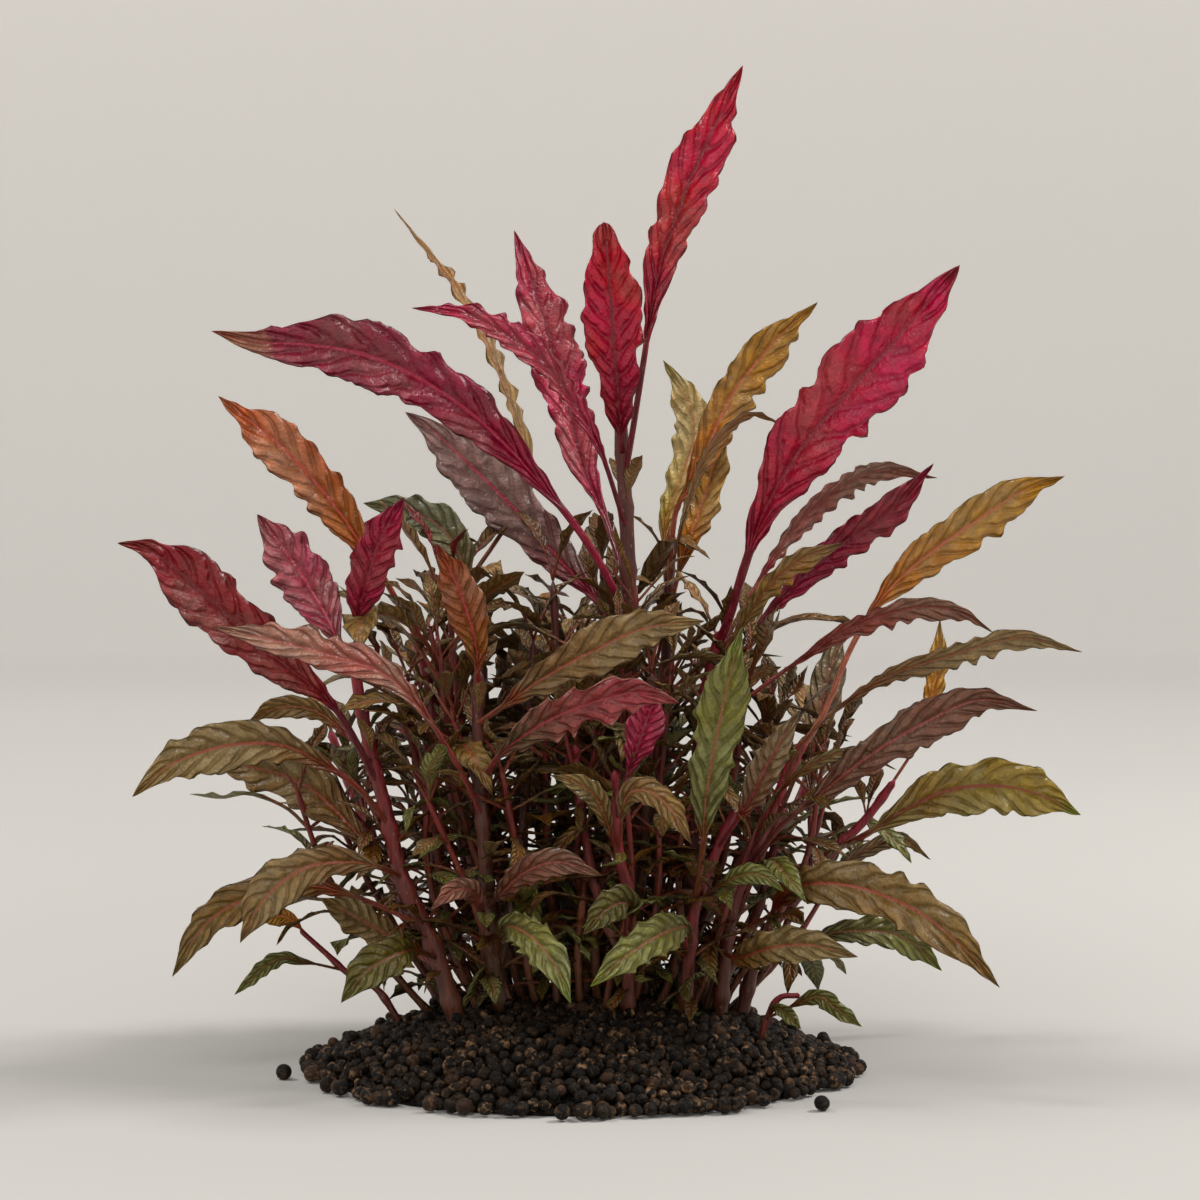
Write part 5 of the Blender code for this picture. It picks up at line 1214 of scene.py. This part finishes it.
# %% Make the thicket
thicket = np.random.default_rng(23)
bunches = {"inner_shoots_left": [], "inner_shoots_right": [], "inner_shoots_back": []}
for number in range(SHOOTS):
    angle = (number * GOLDEN_ANGLE) % math.tau
    side = "left" if math.cos(angle) < 0 else "right"
    bunch = "back" if 0.25 * math.pi < angle < 0.75 * math.pi else side
    bunches["inner_shoots_" + bunch] += shoot_skins(number, thicket)
looks = [STEM_LOOKS["stem_rust"], *(LEAF_LOOKS[finish] for finish in THICKET_FINISHES)]
for name, skins in bunches.items():
    make_piece(name, skins, looks, "olive")
    print(name, TRIANGLES[name], "triangles")

# %% [markdown]
# ## The heap of soil
#
# The heap has about 2300 pellets at its surface. A particle system would place them too, but its
# instances aren't real meshes. Here points are thrown on the heap at random and pushed apart a little
# at a time, until they stand as evenly as loose pellets that have settled. Each becomes one of twelve
# lumpy balls of eighty faces, turned at random. A dark dome below them keeps light from shining through.

# %% Pellet shapes
HEAP_RADIUS = 54.5
HEAP_HEIGHT = 15.8
HEAP_RIM = 1.6
PELLET_SHAPES = 12
LUMP_SIZES = (1.5, 4.0)
PELLET_STRETCH = (0.9, 1.08)


def heap_height(radius):
    """Height of the heap's surface at that distance from its middle: rim + rise (1 - share^2)."""
    share = np.minimum(radius / HEAP_RADIUS, 1)
    return HEAP_RIM + (HEAP_HEIGHT - HEAP_RIM) * (1 - share**2)


def ball(subdivisions):
    """(points, faces) of a ball of radius 1 made of triangles."""
    mesh = bmesh.new()
    bmesh.ops.create_icosphere(mesh, subdivisions=subdivisions, radius=1.0)
    points = np.array([vertex.co[:] for vertex in mesh.verts])
    faces = np.array([[vertex.index for vertex in face.verts] for face in mesh.faces])
    mesh.free()
    return points, faces


def lumpy(points, random, depth):
    """A stretched ball with lumps: radius times 1 + depth * the mean of four waves, each its own way."""
    ways = unit(random.normal(size=(4, 3))) * random.uniform(*LUMP_SIZES, (4, 1))
    waves = np.sin(points @ ways.T + random.uniform(0, math.tau, 4)).mean(axis=1)
    stretch = random.uniform(*PELLET_STRETCH, 3)
    return points * stretch * (1 + depth * waves[:, None])


def turns(count, random):
    """count random rotation matrices, each made from a random unit quaternion."""
    w, x, y, z = unit(random.normal(size=(count, 4))).T
    return np.stack([1 - 2 * (y * y + z * z), 2 * (x * y - z * w), 2 * (x * z + y * w),
                     2 * (x * y + z * w), 1 - 2 * (x * x + z * z), 2 * (y * z - x * w),
                     2 * (x * z - y * w), 2 * (y * z + x * w), 1 - 2 * (x * x + y * y)],
                    axis=-1).reshape(count, 3, 3)


def pellets_skin(centres, radii, random, subdivisions, depth):
    """All the pellets as one skin: each is a shape of the set, turned, scaled and put in place."""
    points, faces = ball(subdivisions)
    shapes = np.array([lumpy(points, random, depth) for _ in range(PELLET_SHAPES)])
    chosen = shapes[random.integers(0, PELLET_SHAPES, len(centres))]
    placed = np.einsum("nij,nkj->nki", turns(len(centres), random), chosen)
    placed = placed * radii[:, None, None] + centres[:, None]
    corners = (faces[None] + np.arange(len(centres))[:, None, None] * len(points)).ravel()
    shade = random.uniform(0, 1, (len(centres), 2))
    return Skin(placed.reshape(-1, 3), corners, np.full(len(centres) * len(faces), 3),
                np.repeat(shade, faces.size, axis=0))


print("a pellet:", len(ball(2)[1]), "faces, one of", PELLET_SHAPES, "shapes")

# %% [markdown]
# The pellets lie in four layers. Each is how many pellets it has, how far inside the heap's rim it
# ends, in mm, and how deep they sit, in nine tenths of their radius: below 0 they lie on top. Those
# of the rim lie on the table round the foot of the heap, and are a little larger.

# %% Throw the pellets
LAYERS = {"surface": (1600, 1.2, 0.75), "below it": (560, 3.0, 2.3), "rim": (84, 0.0, 9.0),
          "loose": (90, 4.0, -0.5)}
PELLET_SIZES = (1.05, 1.5)
RIM_SIZES = (1.35, 1.65)
RIM_SCATTER = (-0.8, 1.2)
ROUNDS = 36
PUSH = 0.3
UNEVEN = 0.3
LOWEST_CENTRE = 1.14


def spread_points(count, radius, random):
    """count points spread over a disc: each round pushes near neighbours apart by a part of the gap."""
    angle = random.uniform(0, math.tau, count)
    points = radius * np.sqrt(random.uniform(0, 1, count))[:, None] * on_circle(angle)
    spacing = 1.05 * radius * math.sqrt(math.pi / count)
    for _ in range(ROUNDS):
        gap = points[:, None] - points[None]
        distance = np.sqrt((gap**2).sum(-1)) + np.eye(count) * 1e6 + 1e-6
        push = np.where(distance < spacing, (spacing - distance) / distance, 0)
        points = points + PUSH * (push[..., None] * gap).sum(1)
        points *= np.minimum(1, radius / np.linalg.norm(points, axis=1))[:, None]
    return points


def rim_points(count, random):
    """count points near the heap's rim."""
    angle = random.uniform(0, math.tau, count)
    return (HEAP_RADIUS + random.uniform(*RIM_SCATTER, count))[:, None] * on_circle(angle)


grit = np.random.default_rng(5)
plan = np.vstack([spread_points(count, HEAP_RADIUS - inset, grit) if layer != "rim"
                  else rim_points(count, grit) for layer, (count, inset, _) in LAYERS.items()])
counts = [count for count, _, _ in LAYERS.values()]
sunk = np.repeat([depth for _, _, depth in LAYERS.values()], counts)
at_rim = np.repeat([layer == "rim" for layer in LAYERS], counts)
radii = grit.uniform(*PELLET_SIZES, len(plan))
radii[at_rim] = grit.uniform(*RIM_SIZES, at_rim.sum())
level = heap_height(np.linalg.norm(plan, axis=1)) - sunk * radii * 0.9
level += grit.normal(0, UNEVEN, len(plan))
centres = np.column_stack([plan, np.maximum(level, LOWEST_CENTRE * radii)])
print(len(centres), "pellets")

# %% Make the heap
CORE_INSET = 3.5
CORE_DEPTH = 2.6
CORE_SIDES = 48
STRAY_PELLETS = {"stray_pellet_left": (-58.1, -11.2), "stray_pellet_right": (45.2, -45.1)}
STRAY_RADIUS = 1.5
core_radius = np.concatenate([[HEAP_RADIUS - CORE_INSET], np.linspace(HEAP_RADIUS - CORE_INSET, 4.0, 14)])
core_height = np.concatenate([[0.1], np.maximum(heap_height(core_radius[1:]) - CORE_DEPTH, 0.2)])
core = closed_skin(turned_rings(core_radius, core_height, CORE_SIDES), [[0, 0, HEAP_HEIGHT - CORE_DEPTH]],
                   np.zeros(CORE_SIDES), np.zeros(CORE_SIDES), np.zeros(len(core_radius)))
make_piece("soil_pellets", [core, pellets_skin(centres, radii, grit, 2, 0.16)], [SOIL_LOOK], "soil",
           replaces="soil_heap")
for name, (x, y) in STRAY_PELLETS.items():
    place = np.array([[x, y, STRAY_RADIUS]])
    stray = pellets_skin(place, np.array([STRAY_RADIUS]), grit, 4, 0.1)
    make_piece("rolled_" + name, [stray], [SOIL_LOOK], "soil", replaces=name)
print("soil_pellets", TRIANGLES["soil_pellets"], "triangles")

# %% [markdown]
# ## The table and the light
#
# The photograph was taken on a pale seamless sheet. A flat floor would end in a hard line at the
# horizon, so the floor here is a wide shallow bowl: level under the plant and curving up all round,
# which also works from any side. Two large soft lamps stand left and right, a little behind, and give
# the faint shadows at both sides of the heap. A third, in front and above, fills the middle.

# %% The seamless table
FLOOR_RADIUS = 2600.0
BOWL_RADIUS = 900.0
BOWL_SIDES = 96
FLAT_RINGS = 24
BEND_RINGS = 20
FLOOR_SHADE = np.array([175, 172, 168])
CLOUD_STEP = 4
CLOUD_SCALE = 1.6
WALL_GLOW_COLOUR = (240, 236, 230)
WALL_GLOW = 0.34
GLOW_SHARES = (-0.1, 0.6)
PAPER_ROUGHNESS = 0.85
PAPER_SPECULAR = 0.2


def bowl_profile():
    """(distance from the middle, height) along the bowl: a flat floor, a quarter circle, a wall."""
    flat = np.column_stack([np.linspace(0, 1, FLAT_RINGS)[1:] ** 2 * FLOOR_RADIUS, np.zeros(FLAT_RINGS - 1)])
    bend = np.linspace(0, math.pi / 2, BEND_RINGS)[1:]
    curve = np.column_stack([FLOOR_RADIUS + BOWL_RADIUS * np.sin(bend), BOWL_RADIUS * (1 - np.cos(bend))])
    return np.vstack([flat, curve, [FLOOR_RADIUS + BOWL_RADIUS, 1.35 * BOWL_RADIUS]])


profile = bowl_profile()
bowl = turned_rings(profile[:, 0], profile[:, 1], BOWL_SIDES)
i, j = np.meshgrid(np.arange(len(profile) - 1) * BOWL_SIDES, np.arange(BOWL_SIDES), indexing="ij")
k = (j + 1) % BOWL_SIDES
quads = np.stack([i + j, i + BOWL_SIDES + j, i + BOWL_SIDES + k, i + k], -1).reshape(-1, 4)
middle = len(profile) * BOWL_SIDES
fan = np.column_stack([np.full(BOWL_SIDES, middle), j[0], k[0]])
mesh = bpy.data.meshes.new("table")
mesh.from_pydata(np.vstack([bowl.reshape(-1, 3), [[0, 0, 0]]]) * MM, [], [*quads.tolist(), *fan.tolist()])
mesh.polygons.foreach_set("use_smooth", np.ones(len(mesh.polygons), bool))
table = bpy.data.objects.new("table", mesh)
scene.collection.objects.link(table)
print("table:", len(mesh.polygons), "faces")

# %% The paper's finish: a little cloudy, and painted paler and glowing more the further away it is
material, tree, place, _, shader = new_material("pale seamless paper")
cloud = noise(tree, place, CLOUD_SCALE)
floor_shade = ramp(tree, cloud, (0.3, screen_colour(*FLOOR_SHADE)),
                   (0.7, screen_colour(*(FLOOR_SHADE + CLOUD_STEP))))
distance = add(tree, "VectorMath", {0: place}, operation="LENGTH").outputs["Value"]
# Painted light: further from the plant the paper is painted paler and glows, standing in for lamp light on
# the far floor and wall.
far = eased(tree, distance, *(share * FLOOR_RADIUS * MM for share in GLOW_SHARES))
glow = screen_colour(*WALL_GLOW_COLOUR)
for name, value in {"Base Color": blended(tree, far, floor_shade, glow),
                    "Emission Color": blended(tree, far, screen_colour(0, 0, 0), glow),
                    "Emission Strength": WALL_GLOW, "Roughness": PAPER_ROUGHNESS,
                    "Specular IOR Level": PAPER_SPECULAR}.items():
    feed(tree, shader.inputs[name], value)
mesh.materials.append(material)
print("paper:", len(tree.nodes), "nodes")

# %% Lamps, each as (place, size, power, tint), and the room's own light
LAMP_TARGET = np.array([0.0, 0.0, 90.0])
ROOM_TINT = (1.0, 0.99, 0.975, 1.0)
ROOM_LIGHT = 0.17
LAMPS = {
    "left lamp": ((-600, 70, 860), 300, 4.5, (1.0, 0.985, 0.96)),
    "right lamp": ((600, 70, 860), 300, 7.6, (1.0, 0.985, 0.96)),
    "front lamp": ((-120, -800, 820), 520, 4.2, (1.0, 0.99, 0.975)),
}
for name, (place, size, power, tint) in LAMPS.items():
    lamp = bpy.data.objects.new(name, bpy.data.lights.new(name, "AREA"))
    lamp.data.shape = "DISK"
    lamp.data.size = size * MM
    lamp.data.energy = power
    lamp.data.color = tint
    lamp.location = np.array(place) * MM
    away = unit(np.array(place) - LAMP_TARGET)
    lamp.rotation_euler = (math.acos(away[2]), 0, math.atan2(away[1], away[0]) + math.pi / 2)
    scene.collection.objects.link(lamp)
scene.world = bpy.data.worlds.new("room")
scene.world.use_nodes = True
sky = scene.world.node_tree.nodes["Background"].inputs
sky["Color"].default_value = ROOM_TINT
sky["Strength"].default_value = ROOM_LIGHT
print("lamps:", ", ".join(LAMPS))

# %% [markdown]
# ## The end
#
# The dressed plant is meant to keep to the CAD model's box, give or take a few millimetres of crumpled
# leaves. The last cell counts the triangles of all the pieces.

# %% Triangles, and the end
print("triangles:", sum(TRIANGLES.values()), "in", len(TRIANGLES), "pieces")
